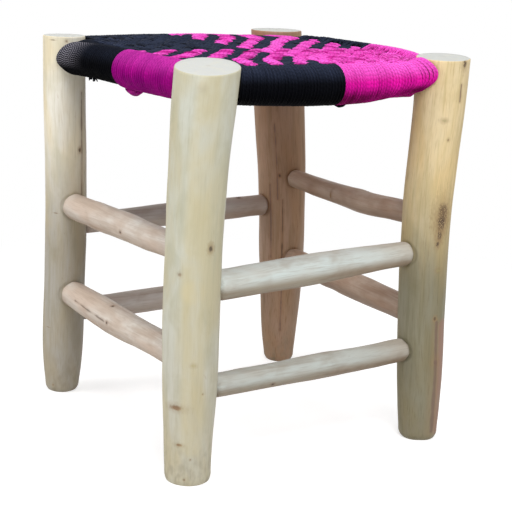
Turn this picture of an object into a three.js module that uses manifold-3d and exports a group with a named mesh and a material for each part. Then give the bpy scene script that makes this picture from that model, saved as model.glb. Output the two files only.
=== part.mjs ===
// A low square stool: four peeled round posts, eight hewn rungs and four rails let into them,
// and a seat of flat bands of cord wound round the rails. Millimetres, +Z up, the front is -Y,
// and the origin is on the floor at the middle of the stool.
import * as THREE from 'three';
import { mergeVertices } from 'three/addons/utils/BufferGeometryUtils.js';
import Module from 'manifold-3d';

const wasm = await Module();
wasm.setup();

// Driving dimensions of the frame
const postSpacing = 314; // centre to centre of the posts, both ways
const postHeight = 446; // from the floor to the middle of an average post's end
const nearPostGirth = 61; // thickness halfway up of the front left post
const rightPostGirth = 56; // of the front right post
const slimPostGirth = 50; // of the back left post
const stoutPostGirth = 64; // of the back right post
const nearPostSlant = 12; // fall across the sawn end of the front left post
const rightPostSlant = 4; // fall across the end of the front right post

// Driving dimensions of the rungs, as heights of their middles above the floor. In each ring the
// other rungs are set higher than the front one, so that their tenons pass in the posts.
const frontUpperHeight = 216;
const backUpperRise = 1;
const leftUpperRise = 29;
const rightUpperRise = 43.5;
const frontLowerHeight = 104;
const backLowerRise = 4;
const leftLowerRise = 28;
const rightLowerRise = 43;
const stoutRungGirth = 34;
const middleRungGirth = 31;
const slimRungGirth = 27;
const rungTenonGirth = 22; // thickness of a rung inside a post
const rungTenonReach = 5; // how far a rung's end goes past the middle of a post
const shoulderLength = 6; // where a rung swells from its tenon to its full thickness

// Driving dimensions of the seat
const seatInset = 0.5; // from an average post's end down to the back roll's upper side
const frontRollDrop = 4.7; // from the back roll's upper side down to the front roll's
const leftRollDrop = 1.5; // from the back roll's down to the left roll's, at mid length
const rightRollRise = 2.9; // from the back roll's up to the right roll's
const bandThickness = 2.4;
const layerGap = 0.4; // between the bands that cross
const frontRollGirth = 44.4; // front rail with its bands, at mid length
const backRollGirth = 46; // back rail with its bands
const rightRollGirth = 43.8;
const leftRollGirth = 42.6;
const railTenonGirth = 16;
const railTenonGap = 1.2; // wood left between the ends of two rails inside one post
const turnGap = 0.55; // between one turn of a band and the next
const warpTurns = 14; // turns of each of the two bands that run front to back
const weftPinkTurns = 12;
const weftBlackTurns = 14;
const knotGirth = 7;

// Clearances
const fitGap = 0.3; // between pieces that touch

// Faceting
const postSides = 26;
const rungSides = 14;
const railSides = 20;
const boreSides = 16;
const railSteps = 8;
const bendSteps = 6; // steps of a band round half of a rail
const faceSamples = 6; // heights at which a post's face is looked for

// Shares of a post's height, and of its girth there
const nearPostShares = [[0, 0.78], [0.012, 0.83], [0.06, 0.85], [0.12, 0.88], [0.18, 0.93],
  [0.24, 0.96], [0.42, 0.99], [0.59, 0.98], [0.76, 1.02], [0.84, 1.05], [0.92, 1.1], [1, 1.11]];
const rightPostShares = [[0, 0.68], [0.012, 0.79], [0.04, 0.83], [0.11, 0.89], [0.17, 0.95],
  [0.3, 0.97], [0.5, 0.98], [0.62, 1], [0.75, 1.02], [0.87, 1.05], [0.95, 1.08], [1, 1.1]];
const slimPostShares = [[0, 0.7], [0.012, 0.82], [0.05, 0.91], [0.09, 0.95], [0.12, 1.01],
  [0.2, 1.02], [0.33, 1], [0.44, 1.03], [0.54, 1.01], [0.67, 1.02], [0.81, 1.03], [1, 1]];
const stoutPostShares = [[0, 0.52], [0.012, 0.62], [0.035, 0.67], [0.07, 0.72], [0.11, 0.78],
  [0.19, 0.86], [0.3, 0.94], [0.38, 0.98], [0.45, 0.97], [0.6, 1.01], [0.78, 1.05], [1, 1.02]];

// Shares of a post's height, and of its girth that its middle bends towards the front right
const nearBowShares = [[0, 0], [0.06, -0.02], [0.24, -0.03], [0.33, -0.07], [0.5, -0.075],
  [0.67, -0.09], [0.84, -0.06], [0.93, -0.025], [1, 0]];
const rightBowShares = [[0, -0.01], [0.17, -0.05], [0.3, -0.085], [0.44, -0.12], [0.62, -0.115],
  [0.75, -0.065], [0.87, -0.01], [1, 0.01]];
const slimBowShares = [[0, -0.02], [0.2, 0.015], [0.33, 0.045], [0.5, 0.075], [0.67, 0.055],
  [0.81, 0.015], [1, 0]];
const stoutBowShares = [[0, 0], [0.11, 0.01], [0.19, 0.04], [0.3, 0.065], [0.45, 0.09],
  [0.56, 0.108], [0.67, 0.07], [0.78, 0.045], [1, 0]];
const bowTurnShare = 0.091; // of a full turn, from +X towards -Y

// The posts: where the head and foot are, as shares of the spacing from the middle of the stool
const posts = {
  front_left: {
    girth: nearPostGirth,
    topShare: 0.991,
    headShares: [-0.4755, -0.5166],
    footShares: [-0.4997, -0.4994],
    girthShares: nearPostShares,
    bowShares: nearBowShares,
    slant: nearPostSlant,
  },
  front_right: {
    girth: rightPostGirth,
    topShare: 0.997,
    headShares: [0.5172, -0.4904],
    footShares: [0.4777, -0.5385],
    girthShares: rightPostShares,
    bowShares: rightBowShares,
    slant: rightPostSlant,
  },
  back_left: {
    girth: slimPostGirth,
    topShare: 1.001,
    headShares: [-0.5131, 0.492],
    footShares: [-0.4904, 0.5427],
    girthShares: slimPostShares,
    bowShares: slimBowShares,
    slant: 0,
  },
  back_right: {
    girth: stoutPostGirth,
    topShare: 1.008,
    headShares: [0.4618, 0.5204],
    footShares: [0.5217, 0.4895],
    girthShares: stoutPostShares,
    bowShares: stoutBowShares,
    slant: 0,
  },
};
const slantTurnShare = 0.163; // of a full turn, from +X towards +Y: the way the ends rise

// The rungs. A rise is how much higher the second end is, and a bow how far the middle lifts,
// both as shares of the girth. The girth's shares are taken along the way between the posts.
const rungs = {
  front_upper: {
    ends: ['front_left', 'front_right'],
    height: frontUpperHeight,
    girth: stoutRungGirth,
    riseShare: 0.38,
    bowShare: 0.02,
    girthShares: [[0, 0.86], [0.14, 0.97], [0.26, 1.02], [0.5, 1], [0.64, 0.96], [0.76, 0.88],
      [0.88, 0.84], [1, 0.78]],
  },
  front_lower: {
    ends: ['front_left', 'front_right'],
    height: frontLowerHeight,
    girth: slimRungGirth,
    riseShare: 0.34,
    bowShare: -0.02,
    girthShares: [[0, 0.93], [0.14, 1], [0.3, 1.02], [0.48, 1.07], [0.62, 1.05], [0.74, 0.99],
      [0.8, 1.02], [0.9, 0.97], [1, 0.88]],
  },
  left_upper: {
    ends: ['back_left', 'front_left'],
    height: frontUpperHeight + leftUpperRise,
    girth: middleRungGirth,
    riseShare: 0.2,
    bowShare: 0,
    girthShares: [[0, 0.85], [0.1, 1.02], [0.24, 1.08], [0.4, 1.04], [0.55, 1.02], [0.7, 0.98],
      [0.84, 0.94], [1, 0.88]],
  },
  left_lower: {
    ends: ['back_left', 'front_left'],
    height: frontLowerHeight + leftLowerRise,
    girth: stoutRungGirth,
    riseShare: 0,
    bowShare: -0.06,
    girthShares: [[0, 0.78], [0.1, 0.93], [0.22, 1], [0.38, 1.05], [0.54, 1.05], [0.66, 1],
      [0.78, 0.92], [1, 0.8]],
  },
  right_upper: {
    ends: ['back_right', 'front_right'],
    height: frontUpperHeight + rightUpperRise,
    girth: slimRungGirth,
    riseShare: 0.13,
    bowShare: -0.14,
    girthShares: [[0, 0.84], [0.14, 0.88], [0.32, 0.93], [0.46, 1], [0.6, 1.1], [0.7, 1.02],
      [0.8, 0.95], [1, 0.88]],
  },
  right_lower: {
    ends: ['back_right', 'front_right'],
    height: frontLowerHeight + rightLowerRise,
    girth: middleRungGirth,
    riseShare: -0.1,
    bowShare: 0.03,
    girthShares: [[0, 0.84], [0.14, 0.94], [0.34, 1], [0.55, 1.03], [0.7, 1.03], [0.84, 1],
      [1, 0.85]],
  },
  back_upper: {
    ends: ['back_left', 'back_right'],
    height: frontUpperHeight + backUpperRise,
    girth: slimRungGirth,
    riseShare: 0.2,
    bowShare: 0,
    girthShares: [[0, 0.88], [0.14, 0.95], [0.28, 1.02], [0.46, 1.07], [0.7, 1.06], [0.86, 1],
      [1, 0.9]],
  },
  back_lower: {
    ends: ['back_left', 'back_right'],
    height: frontLowerHeight + backLowerRise,
    girth: slimRungGirth,
    riseShare: 0.42,
    bowShare: -0.08,
    girthShares: [[0, 0.95], [0.14, 1.04], [0.3, 1.1], [0.48, 1.1], [0.64, 1], [0.84, 0.9],
      [1, 0.82]],
  },
};

const backRollTop = postHeight - seatInset;

// The rails, thickest at mid length. The end share is the girth where the bands stop at the
// posts, and the drop shares are how much lower the upper side is there, both as shares of the
// girth at mid length.
const rails = {
  front: {
    ends: ['front_left', 'front_right'],
    top: backRollTop - frontRollDrop,
    girth: frontRollGirth,
    endShare: 0.886,
    dropShares: [0, 0],
  },
  back: {
    ends: ['back_left', 'back_right'],
    top: backRollTop,
    girth: backRollGirth,
    endShare: 0.886,
    dropShares: [0, 0],
  },
  left: {
    ends: ['front_left', 'back_left'],
    top: backRollTop - leftRollDrop,
    girth: leftRollGirth,
    endShare: 0.98,
    dropShares: [0, 0.075],
  },
  right: {
    ends: ['front_right', 'back_right'],
    top: backRollTop + rightRollRise,
    girth: rightRollGirth,
    endShare: 0.914,
    dropShares: [0.057, 0.057],
  },
};

const woodFinish = { roughness: 0.72, metalness: 0 };
const cordFinish = { roughness: 0.42, metalness: 0 };
const woodColor = 0xc9bfa2;
const rungColor = 0xbfae98;
const railColor = 0xb09a7c;
const blackColor = 0x14171d;
const pinkColor = 0xc4128f;

const stool = new THREE.Group();

// Adds one named piece to the stool
function addPiece(name, geometry, color, finish) {
  geometry.computeVertexNormals();
  const mesh = new THREE.Mesh(geometry, new THREE.MeshStandardMaterial({ color, ...finish }));
  mesh.name = name;
  stool.add(mesh);
  return mesh;
}

// The value at a share of the way along a table of [place share, value share] pairs
function shareAt(table, share) {
  let next = 1;
  while (next < table.length - 1 && table[next][0] < share) next += 1;
  const [fromPlace, fromValue] = table[next - 1];
  const [toPlace, toValue] = table[next];
  const part = THREE.MathUtils.clamp((share - fromPlace) / (toPlace - fromPlace), 0, 1);
  return THREE.MathUtils.lerp(fromValue, toValue, part);
}

// A closed body through rings of points that all run the same way round
function loft(rings) {
  const sides = rings[0].length;
  const positions = rings.flat().flatMap((point) => point.toArray());
  const index = [];
  for (let ring = 0; ring < rings.length - 1; ring += 1) {
    for (let side = 0; side < sides; side += 1) {
      const next = (side + 1) % sides;
      const a = ring * sides + side;
      const b = ring * sides + next;
      index.push(a, b, b + sides, a, b + sides, a + sides);
    }
  }
  const last = (rings.length - 1) * sides;
  for (let side = 1; side < sides - 1; side += 1) {
    index.push(0, side + 1, side);
    index.push(last, last + side, last + side + 1);
  }
  const geometry = new THREE.BufferGeometry();
  geometry.setAttribute('position', new THREE.Float32BufferAttribute(positions, 3));
  geometry.setIndex(index);
  return geometry;
}

// Rings of a round stick between two points: stations are [distance from the start, radius, lift]
function stick(start, end, stations, sides) {
  const along = end.clone().sub(start).normalize();
  const up = new THREE.Vector3(0, 0, 1);
  const side = new THREE.Vector3().crossVectors(up, along).normalize();
  const over = new THREE.Vector3().crossVectors(along, side);
  const rings = stations.map(([distance, radius, lift]) => {
    const middle = start.clone().addScaledVector(along, distance).addScaledVector(over, lift);
    const ring = [];
    for (let i = 0; i < sides; i += 1) {
      const turn = (i + 0.5) / sides * Math.PI * 2;
      ring.push(middle.clone()
        .addScaledVector(side, radius * Math.cos(turn))
        .addScaledVector(over, radius * Math.sin(turn)));
    }
    return ring;
  });
  return loft(rings);
}

function toSolid(geometry) {
  const merged = mergeVertices(geometry.clone().deleteAttribute('normal'));
  const vertProperties = new Float32Array(merged.attributes.position.array);
  const triVerts = new Uint32Array(merged.index.array);
  return new wasm.Manifold(new wasm.Mesh({ numProp: 3, vertProperties, triVerts }));
}

function toGeometry(solid) {
  const mesh = solid.getMesh();
  const geometry = new THREE.BufferGeometry();
  geometry.setAttribute('position', new THREE.BufferAttribute(new Float32Array(mesh.vertProperties), 3));
  geometry.setIndex(new THREE.BufferAttribute(new Uint32Array(mesh.triVerts), 1));
  return geometry;
}

// The middle and radius of a post at a height above the floor
function postAt(post, height) {
  const share = height / (postHeight * post.topShare);
  const bow = shareAt(post.bowShares, share) * post.girth;
  const turn = bowTurnShare * Math.PI * 2;
  const x = THREE.MathUtils.lerp(post.footShares[0], post.headShares[0], share) * postSpacing;
  const y = THREE.MathUtils.lerp(post.footShares[1], post.headShares[1], share) * postSpacing;
  return {
    middle: new THREE.Vector3(x + bow * Math.cos(turn), y - bow * Math.sin(turn), height),
    radius: shareAt(post.girthShares, share) * post.girth / 2,
  };
}

function postGeometry(post) {
  const rings = post.girthShares.map(([share]) => {
    const { middle, radius } = postAt(post, share * postHeight * post.topShare);
    const ring = [];
    for (let i = 0; i < postSides; i += 1) {
      const turn = i / postSides * Math.PI * 2;
      const point = middle.clone();
      point.x += radius * Math.cos(turn);
      point.y += radius * Math.sin(turn);
      if (share === 1) {
        point.z += post.slant / 2 * Math.cos(turn - slantTurnShare * Math.PI * 2);
      }
      ring.push(point);
    }
    return ring;
  });
  return loft(rings);
}

// How far a post's face stands from a start point, at most, over heights a girth apart
function faceReach(post, start, direction, girth) {
  let reach = 0;
  for (let i = 0; i <= faceSamples; i += 1) {
    const lift = (i / faceSamples - 1 / 2) * girth;
    const { middle, radius } = postAt(post, start.z + lift);
    middle.z = start.z;
    reach = Math.max(reach, middle.sub(start).dot(direction) + radius);
  }
  return reach;
}

// The line between the middles of two posts, with the distances along it at which a stick of
// the given girth is clear of each post
function lineBetween(ends, startHeight, endHeight, girth) {
  const start = postAt(posts[ends[0]], startHeight).middle;
  const end = postAt(posts[ends[1]], endHeight).middle;
  const span = start.distanceTo(end);
  const direction = end.clone().sub(start).normalize();
  const startFace = faceReach(posts[ends[0]], start, direction, girth) + fitGap;
  const endFace = span - faceReach(posts[ends[1]], end, direction.clone().negate(), girth) - fitGap;
  return { start, end, span, startFace, endFace };
}

// The hole in a post for a tenon of a line, from outside the post to the tenon's end
function cutMortise(cuts, line, postName, atStart, girth, depthFromMiddle) {
  const radius = girth / 2 + fitGap;
  const mouth = atStart ? line.startFace : line.span - line.endFace;
  const toward = atStart ? line.end : line.start;
  const from = atStart ? line.start : line.end;
  const stations = [
    [-depthFromMiddle - fitGap, radius, 0],
    [mouth + radius, radius, 0],
  ];
  cuts[postName].push(stick(from, toward, stations, boreSides));
}

const cuts = { front_left: [], front_right: [], back_left: [], back_right: [] };

// The rungs, each with a tenon at both ends
for (const [name, rung] of Object.entries(rungs)) {
  const rise = rung.riseShare * rung.girth;
  const line = lineBetween(rung.ends, rung.height - rise / 2, rung.height + rise / 2, rung.girth);
  const tenonRadius = rungTenonGirth / 2;
  const edge = (rung.girth - rungTenonGirth) / 4;
  const stations = [
    [-rungTenonReach, tenonRadius - edge, 0],
    [-rungTenonReach + edge, tenonRadius, 0],
    [line.startFace, tenonRadius, 0],
  ];
  const innerStart = line.startFace + shoulderLength;
  const innerEnd = line.endFace - shoulderLength;
  for (const [share, girthShare] of rung.girthShares) {
    const place = THREE.MathUtils.lerp(innerStart, innerEnd, share);
    const lift = rung.bowShare * rung.girth * Math.sin(share * Math.PI);
    stations.push([place, girthShare * rung.girth / 2, lift]);
  }
  stations.push(
    [line.endFace, tenonRadius, 0],
    [line.span + rungTenonReach - edge, tenonRadius, 0],
    [line.span + rungTenonReach, tenonRadius - edge, 0],
  );
  cutMortise(cuts, line, rung.ends[0], true, rungTenonGirth, rungTenonReach);
  cutMortise(cuts, line, rung.ends[1], false, rungTenonGirth, rungTenonReach);
  addPiece(`rung_${name}`, stick(line.start, line.end, stations, rungSides), rungColor, woodFinish);
}

// The swell of a roll, which is a rail with its bands, at a share of the way between the posts
function rollSwell(share) {
  return THREE.MathUtils.clamp(Math.sin(share * Math.PI), 0, 1);
}

function rollRadius(rail, share) {
  return rail.girth / 2 * THREE.MathUtils.lerp(rail.endShare, 1, rollSwell(share));
}

// The height of a roll's middle above the floor
function rollHeight(rail, share) {
  const [startDrop, endDrop] = rail.dropShares;
  const drop = THREE.MathUtils.lerp(startDrop, endDrop, Math.round(share)) * rail.girth;
  return rail.top - drop * (1 - rollSwell(share)) - rollRadius(rail, share);
}

// A band bends round a rail in straight steps, so the rail inside it is slimmer by their sagitta
const bendShrinkShare = Math.cos(Math.PI / bendSteps / 2);

function railRadius(rail, share) {
  return (rollRadius(rail, share) - bandThickness) * bendShrinkShare - fitGap;
}

for (const [name, rail] of Object.entries(rails)) {
  const startHeight = rollHeight(rail, 0);
  const endHeight = rollHeight(rail, 1);
  rail.line = lineBetween(rail.ends, startHeight, endHeight, rollRadius(rail, 0) * 2);
  const { line } = rail;
  const tenonRadius = railTenonGirth / 2;
  const tenonStop = tenonRadius + railTenonGap + fitGap;
  const edge = railTenonGap;
  const stations = [
    [tenonStop, tenonRadius - edge, 0],
    [tenonStop + edge, tenonRadius, 0],
    [line.startFace, tenonRadius, 0],
  ];
  for (let step = 0; step <= railSteps; step += 1) {
    const share = step / railSteps;
    const inset = edge * (1 - 2 * share);
    const place = THREE.MathUtils.lerp(line.startFace, line.endFace, share) + inset;
    const straightHeight = THREE.MathUtils.lerp(startHeight, endHeight, place / line.span);
    stations.push([place, railRadius(rail, share), rollHeight(rail, share) - straightHeight]);
  }
  stations.push(
    [line.endFace, tenonRadius, 0],
    [line.span - tenonStop - edge, tenonRadius, 0],
    [line.span - tenonStop, tenonRadius - edge, 0],
  );
  cutMortise(cuts, line, rail.ends[0], true, railTenonGirth, -tenonStop);
  cutMortise(cuts, line, rail.ends[1], false, railTenonGirth, -tenonStop);
  addPiece(`rail_${name}`, stick(line.start, line.end, stations, railSides), railColor, woodFinish);
}

for (const [name, post] of Object.entries(posts)) {
  let solid = toSolid(postGeometry(post));
  for (const cut of cuts[name]) solid = solid.subtract(toSolid(cut));
  addPiece(`leg_${name}`, toGeometry(solid), woodColor, woodFinish);
}

// The middle of a roll and its radius, at a distance from the post where the rail starts
function rollAt(rail, distance) {
  const { start, end, span, startFace, endFace } = rail.line;
  const share = THREE.MathUtils.clamp((distance - startFace) / (endFace - startFace), 0, 1);
  const radius = rollRadius(rail, share);
  const middle = start.clone().lerp(end, distance / span);
  middle.z = rollHeight(rail, share);
  return { middle, radius };
}

// One band wound in even turns round two rails. It goes over the top from the first rail to the
// second, round it, back underneath into the next turn's place, and round the first rail again.
// The reach is where the turns start and end along the rails, as shares from post to post. The
// field is what the band crosses, if it does: its edges across the band's way, and functions for
// the heights at which the band lies over and under it.
function woundBand({ over, outward, reachShares, turns, field }) {
  const lanes = over.map((rail) => {
    const free = rail.line.endFace - rail.line.startFace;
    const pitch = free * (reachShares[1] - reachShares[0]) / turns;
    const from = rail.line.startFace + free * reachShares[0];
    return { rail, from, pitch, width: pitch - turnGap };
  });
  const edgeAt = ({ rail, from, pitch, width }, turn, edgeSide) => (
    rollAt(rail, from + pitch * (turn + 1 / 2) + width / 2 * edgeSide)
  );
  const rings = [];
  // Adds the four corners of the band from a function of its edge and the depth into it
  const addRing = (corner) => {
    rings.push([corner(-1, 0), corner(1, 0), corner(1, bandThickness), corner(-1, bandThickness)]);
  };
  const addBend = (which, turn, angle, side) => {
    addRing((edgeSide, depth) => {
      const { middle, radius } = edgeAt(lanes[which], turn, edgeSide);
      const reach = radius - depth;
      const point = middle.clone().addScaledVector(side, reach * Math.sin(angle));
      point.z += reach * Math.cos(angle);
      return point;
    });
  };
  const addFieldEdge = (turnShares, place, heightAt, inward) => {
    addRing((edgeSide, depth) => {
      const first = edgeAt(lanes[0], turnShares[0], edgeSide).middle;
      const second = edgeAt(lanes[1], turnShares[1], edgeSide).middle;
      const reach = outward.dot(second.clone().sub(first));
      const point = first.clone().lerp(second, (place - outward.dot(first)) / reach);
      point.z = heightAt(point.y) + inward * depth;
      return point;
    });
  };
  const away = outward.clone().negate();
  const turnStarts = [];
  for (let turn = 0; turn < turns; turn += 1) {
    turnStarts.push(rings.length);
    for (let step = 0; step <= bendSteps; step += 1) {
      addBend(0, turn, Math.PI * (1 - step / bendSteps), away);
    }
    if (field) {
      for (const place of field.edges) addFieldEdge([turn, turn], place, field.upper, -1);
    }
    for (let step = 0; step <= bendSteps; step += 1) {
      addBend(1, turn, Math.PI * step / bendSteps, outward);
    }
    if (field && turn < turns - 1) {
      for (const place of [...field.edges].reverse()) {
        addFieldEdge([turn + 1, turn], place, field.lower, 1);
      }
    }
  }
  return { rings, ringsPerTurn: turnStarts[1] };
}

// The least distance between the rings of neighbouring turns, measured between their edges
function leastGap({ rings, ringsPerTurn }) {
  let least = Infinity;
  for (let i = 0; i + ringsPerTurn < rings.length; i += 1) {
    for (const near of [rings[i][1], rings[i][2]]) {
      for (const far of [rings[i + ringsPerTurn][0], rings[i + ringsPerTurn][3]]) {
        least = Math.min(least, near.distanceTo(far));
      }
    }
  }
  return least;
}

// A height that runs straight from over the front rail to over the back one, as a function of y
function slopeOver(heightAt) {
  const [from, to] = [rails.front, rails.back].map(({ line }) => (line.start.y + line.end.y) / 2);
  const [low, high] = [rails.front, rails.back].map(heightAt);
  return (y) => THREE.MathUtils.mapLinear(y, from, to, low, high);
}

// Where the bands that run front to back start and end across the stool, and the heights at
// which the crossing bands clear them
const warpEdges = [rails.front, rails.back].map((rail) => [
  rollAt(rail, rail.line.startFace).middle.x,
  rollAt(rail, rail.line.endFace).middle.x,
]);
const crossingRise = layerGap + bandThickness;
const warpField = {
  edges: [
    Math.min(...warpEdges.map((pair) => pair[0])),
    Math.max(...warpEdges.map((pair) => pair[1])),
  ],
  upper: slopeOver((rail) => rail.top + crossingRise),
  lower: slopeOver((rail) => rail.top - rollRadius(rail, 0) * 2 + crossingRise),
};

const backward = new THREE.Vector3(0, 1, 0);
const rightward = new THREE.Vector3(1, 0, 0);
const pinkReachShare = weftPinkTurns / (weftPinkTurns + weftBlackTurns);
const warp = { over: [rails.front, rails.back], outward: backward, turns: warpTurns };
const weft = { over: [rails.left, rails.right], outward: rightward, field: warpField };
const bands = {
  warp_black: { ...warp, reachShares: [0, 1 / 2], color: blackColor },
  warp_pink: { ...warp, reachShares: [1 / 2, 1], color: pinkColor },
  weft_pink: {
    ...weft,
    reachShares: [0, pinkReachShare],
    turns: weftPinkTurns,
    color: pinkColor,
  },
  weft_black: {
    ...weft,
    reachShares: [pinkReachShare, 1],
    turns: weftBlackTurns,
    color: blackColor,
  },
};
for (const [name, band] of Object.entries(bands)) {
  const wound = woundBand(band);
  const rings = band.field ? wound.rings.map((ring) => [...ring].reverse()) : wound.rings;
  addPiece(`cord_${name}`, loft(rings), band.color, cordFinish);
  console.log(`cord_${name}: least gap between turns ${leastGap(wound).toFixed(2)} mm`);
}

// The knots where lengths of cord are joined, tight under the rolls. A place is a share of the
// way along the rail from post to post.
const knots = {
  left_black: { rail: rails.left, share: 0.77, color: blackColor },
  left_pink: { rail: rails.left, share: 0.46, color: pinkColor },
  front: { rail: rails.front, share: 0.555, color: blackColor },
};
const knotLengthShare = 1.8; // of its girth, along the rail
const knotDepthShare = 0.6; // of its girth, downwards
for (const [name, knot] of Object.entries(knots)) {
  const { span } = knot.rail.line;
  const { middle, radius } = rollAt(knot.rail, span * knot.share);
  const along = knot.rail.line.end.clone().sub(knot.rail.line.start);
  const geometry = mergeVertices(
    new THREE.IcosahedronGeometry(knotGirth / 2, 1).deleteAttribute('normal').deleteAttribute('uv'),
  );
  geometry.scale(knotLengthShare, 1, knotDepthShare);
  geometry.rotateZ(Math.atan2(along.y, along.x));
  const knotDrop = radius + fitGap + knotGirth / 2 * knotDepthShare;
  geometry.translate(middle.x, middle.y, middle.z - knotDrop);
  addPiece(`knot_${name}`, geometry, knot.color, cordFinish);
}

// Stands the stool with the middle of its outline over the origin
const outline = new THREE.Box3().setFromObject(stool);
const outlineMiddle = outline.getCenter(new THREE.Vector3());
stool.position.set(-outlineMiddle.x, -outlineMiddle.y, -outline.min.z);
console.log(`moved by ${stool.position.toArray().map((value) => value.toFixed(2))} mm`);

export default stool;
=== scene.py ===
import math

import bpy
import numpy as np
from bpy.props import FloatProperty, FloatVectorProperty, IntProperty, PointerProperty
from bpy.types import Operator, Panel, PropertyGroup
from mathutils import Matrix, Vector
from mathutils.bvhtree import BVHTree


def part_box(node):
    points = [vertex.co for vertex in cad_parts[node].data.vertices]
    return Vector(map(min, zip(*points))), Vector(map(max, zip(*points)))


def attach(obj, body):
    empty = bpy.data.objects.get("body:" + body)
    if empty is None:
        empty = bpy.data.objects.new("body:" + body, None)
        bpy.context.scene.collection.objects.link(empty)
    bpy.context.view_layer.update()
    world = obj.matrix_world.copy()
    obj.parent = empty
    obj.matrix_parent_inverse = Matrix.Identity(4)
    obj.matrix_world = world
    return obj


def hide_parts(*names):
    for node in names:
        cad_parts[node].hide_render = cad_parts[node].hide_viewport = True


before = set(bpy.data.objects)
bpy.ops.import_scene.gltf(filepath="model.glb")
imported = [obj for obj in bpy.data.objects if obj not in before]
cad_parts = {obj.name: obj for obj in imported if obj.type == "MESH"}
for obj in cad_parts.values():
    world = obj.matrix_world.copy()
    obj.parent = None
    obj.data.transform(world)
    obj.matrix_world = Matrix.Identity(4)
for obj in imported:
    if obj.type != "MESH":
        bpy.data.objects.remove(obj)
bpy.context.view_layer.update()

bl_info = {
    "name": "Woven Cord Stool",
    "version": (1, 0, 0),
    "blender": (4, 5, 0),
    "location": "View3D > Sidebar > Stool",
    "description": "Builds a low stool of peeled posts, hewn rungs and a twill seat of cord",
    "category": "Object",
}

BODY = "root"
MM = 0.001
FULL_TURN = 2 * math.pi

POSTS = ("leg_front_left", "leg_front_right", "leg_back_left", "leg_back_right")
RUNGS = (
    "rung_front_upper", "rung_front_lower", "rung_left_upper", "rung_left_lower",
    "rung_right_upper", "rung_right_lower", "rung_back_upper", "rung_back_lower",
)
RAILS = ("rail_front", "rail_back", "rail_left", "rail_right")
SIDE_POSTS = {
    "front": ("leg_front_left", "leg_front_right"),
    "back": ("leg_back_left", "leg_back_right"),
    "left": ("leg_front_left", "leg_back_left"),
    "right": ("leg_front_right", "leg_back_right"),
}

# What tells a stick's body from its tenons: a ring with a greater radius.
RUNG_TENON_MOST, RAIL_TENON_MOST = 11.2 * MM, 12 * MM

# Marks on the posts: kind, height in mm, angle round the post in degrees, size in mm, and for a
# crack, a seam or a band of colour the height and angle of its other end.
POST_MARKS = {
    "leg_front_left": (
        ("knot", 259.5, -84, 4.6), ("speck", 232.1, -146, 3.4), ("smudge", 136.0, -114, 3.0),
        ("scar", 88.2, -149, 6.0), ("bump", 429.6, -126, 4.6), ("speck", 30.9, -113, 1.6),
        ("speck", 7.9, -127, 2.2), ("speck", 104.0, -92, 1.6), ("scar", 47.0, -140, 3.0),
        ("knot", 330.0, 40, 4.0), ("knot", 180.0, 100, 4.4), ("seam", 395.0, 60, 0.7, 300.0, 66),
        ("warmth", 446.0, -112, 12.0, 215.0, -118), ("warmth", 215.0, -118, 11.0, 45.0, -112),
    ),
    "leg_front_right": (
        ("bark", 272.0, -89, 11.0), ("bark", 260.0, -91, 9.0), ("bark", 246.0, -95, 5.0),
        ("bark", 236.0, -98, 3.4),
        ("knot", 148.4, -94, 3.0), ("bark", 441.0, -78, 5.0), ("smudge", 205.0, -90, 3.4),
        ("smudge", 377.0, -115, 3.2), ("speck", 355.0, -99, 2.6), ("seam", 417.0, -81, 0.8, 398.0, -81),
        ("stain", 138.0, -64, 7.5, 14.0, -60),
        ("seam", 143.5, -88, 2.2, 96.0, -86), ("seam", 96.0, -86, 2.8, 12.0, -84),
        ("knot", 320.0, 70, 4.2), ("knot", 120.0, 30, 3.8), ("seam", 250.0, 10, 0.8, 90.0, 14),
    ),
    "leg_back_left": (
        ("slot", 442.1, -146, 1.4), ("speck", 441.0, -108, 2.4), ("slot", 233.9, -144, 1.2),
        ("slot", 86.7, -164, 1.2),
        ("knot", 311.3, -72, 3.4), ("speck", 9.9, -148, 1.8), ("knot", 150.0, 80, 4.0),
        ("seam", 380.0, -62, 0.9, 240.0, -66),
    ),
    "leg_back_right": (
        ("crack", 229.3, -121, 0.7, 150.0, -122), ("seam", 150.0, -122, 0.9, 47.7, -120),
        ("seam", 248.1, -153, 1.0, 150.0, -150), ("seam", 330.0, -135, 0.8, 230.0, -133),
        ("knot", 300.0, 30, 4.2), ("knot", 130.0, 120, 4.0), ("knot", 262.0, -128, 2.6),
    ),
}

# Marks on the rungs: kind, a point on the surface in mm, size in mm, and for a crack its other end.
RUNG_MARKS = {
    "rung_front_lower": (("knot", (-63.5, -171.0, 96.0), 2.6),),
    "rung_left_lower": (
        ("crack", (-170.8, 100.2, 134.0), 0.6, (-176.4, 12.8, 131.6)),
        ("knot", (-162.5, 20.4, 147.1), 3.0), ("knot", (-176.4, 7.5, 131.8), 2.8),
    ),
    "rung_left_upper": (("knot", (-174.2, -18.0, 242.6), 2.6),),
    "rung_back_upper": (("knot", (87.2, 153.6, 231.3), 2.8),),
    "rung_right_upper": (
        ("bump", (139.2, -90.8, 264.2), 9.0), ("bump", (139.0, -30.0, 258.0), 6.0),
        ("scar", (138.5, 20.0, 256.0), 4.0), ("bump", (140.0, 70.0, 255.0), 6.5),
    ),
}


def srgb(red, green, blue):
    """A colour picked in a viewer, 0 to 255, as the linear numbers that a shader takes."""
    shares = [c / 255 for c in (red, green, blue)]
    return tuple(c / 12.92 if c <= 0.04045 else ((c + 0.055) / 1.055) ** 2.4 for c in shares)


# The stool's points and rings.


def unit(rows):
    """Rows scaled to a length of one."""
    return rows / np.linalg.norm(rows, axis=-1)[..., None]


def node_points(name):
    """The points of a CAD node, in metres, one row each."""
    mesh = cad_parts[name].data
    points = np.zeros(len(mesh.vertices) * 3)
    mesh.vertices.foreach_get("co", points)
    return points.reshape(-1, 3)


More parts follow.
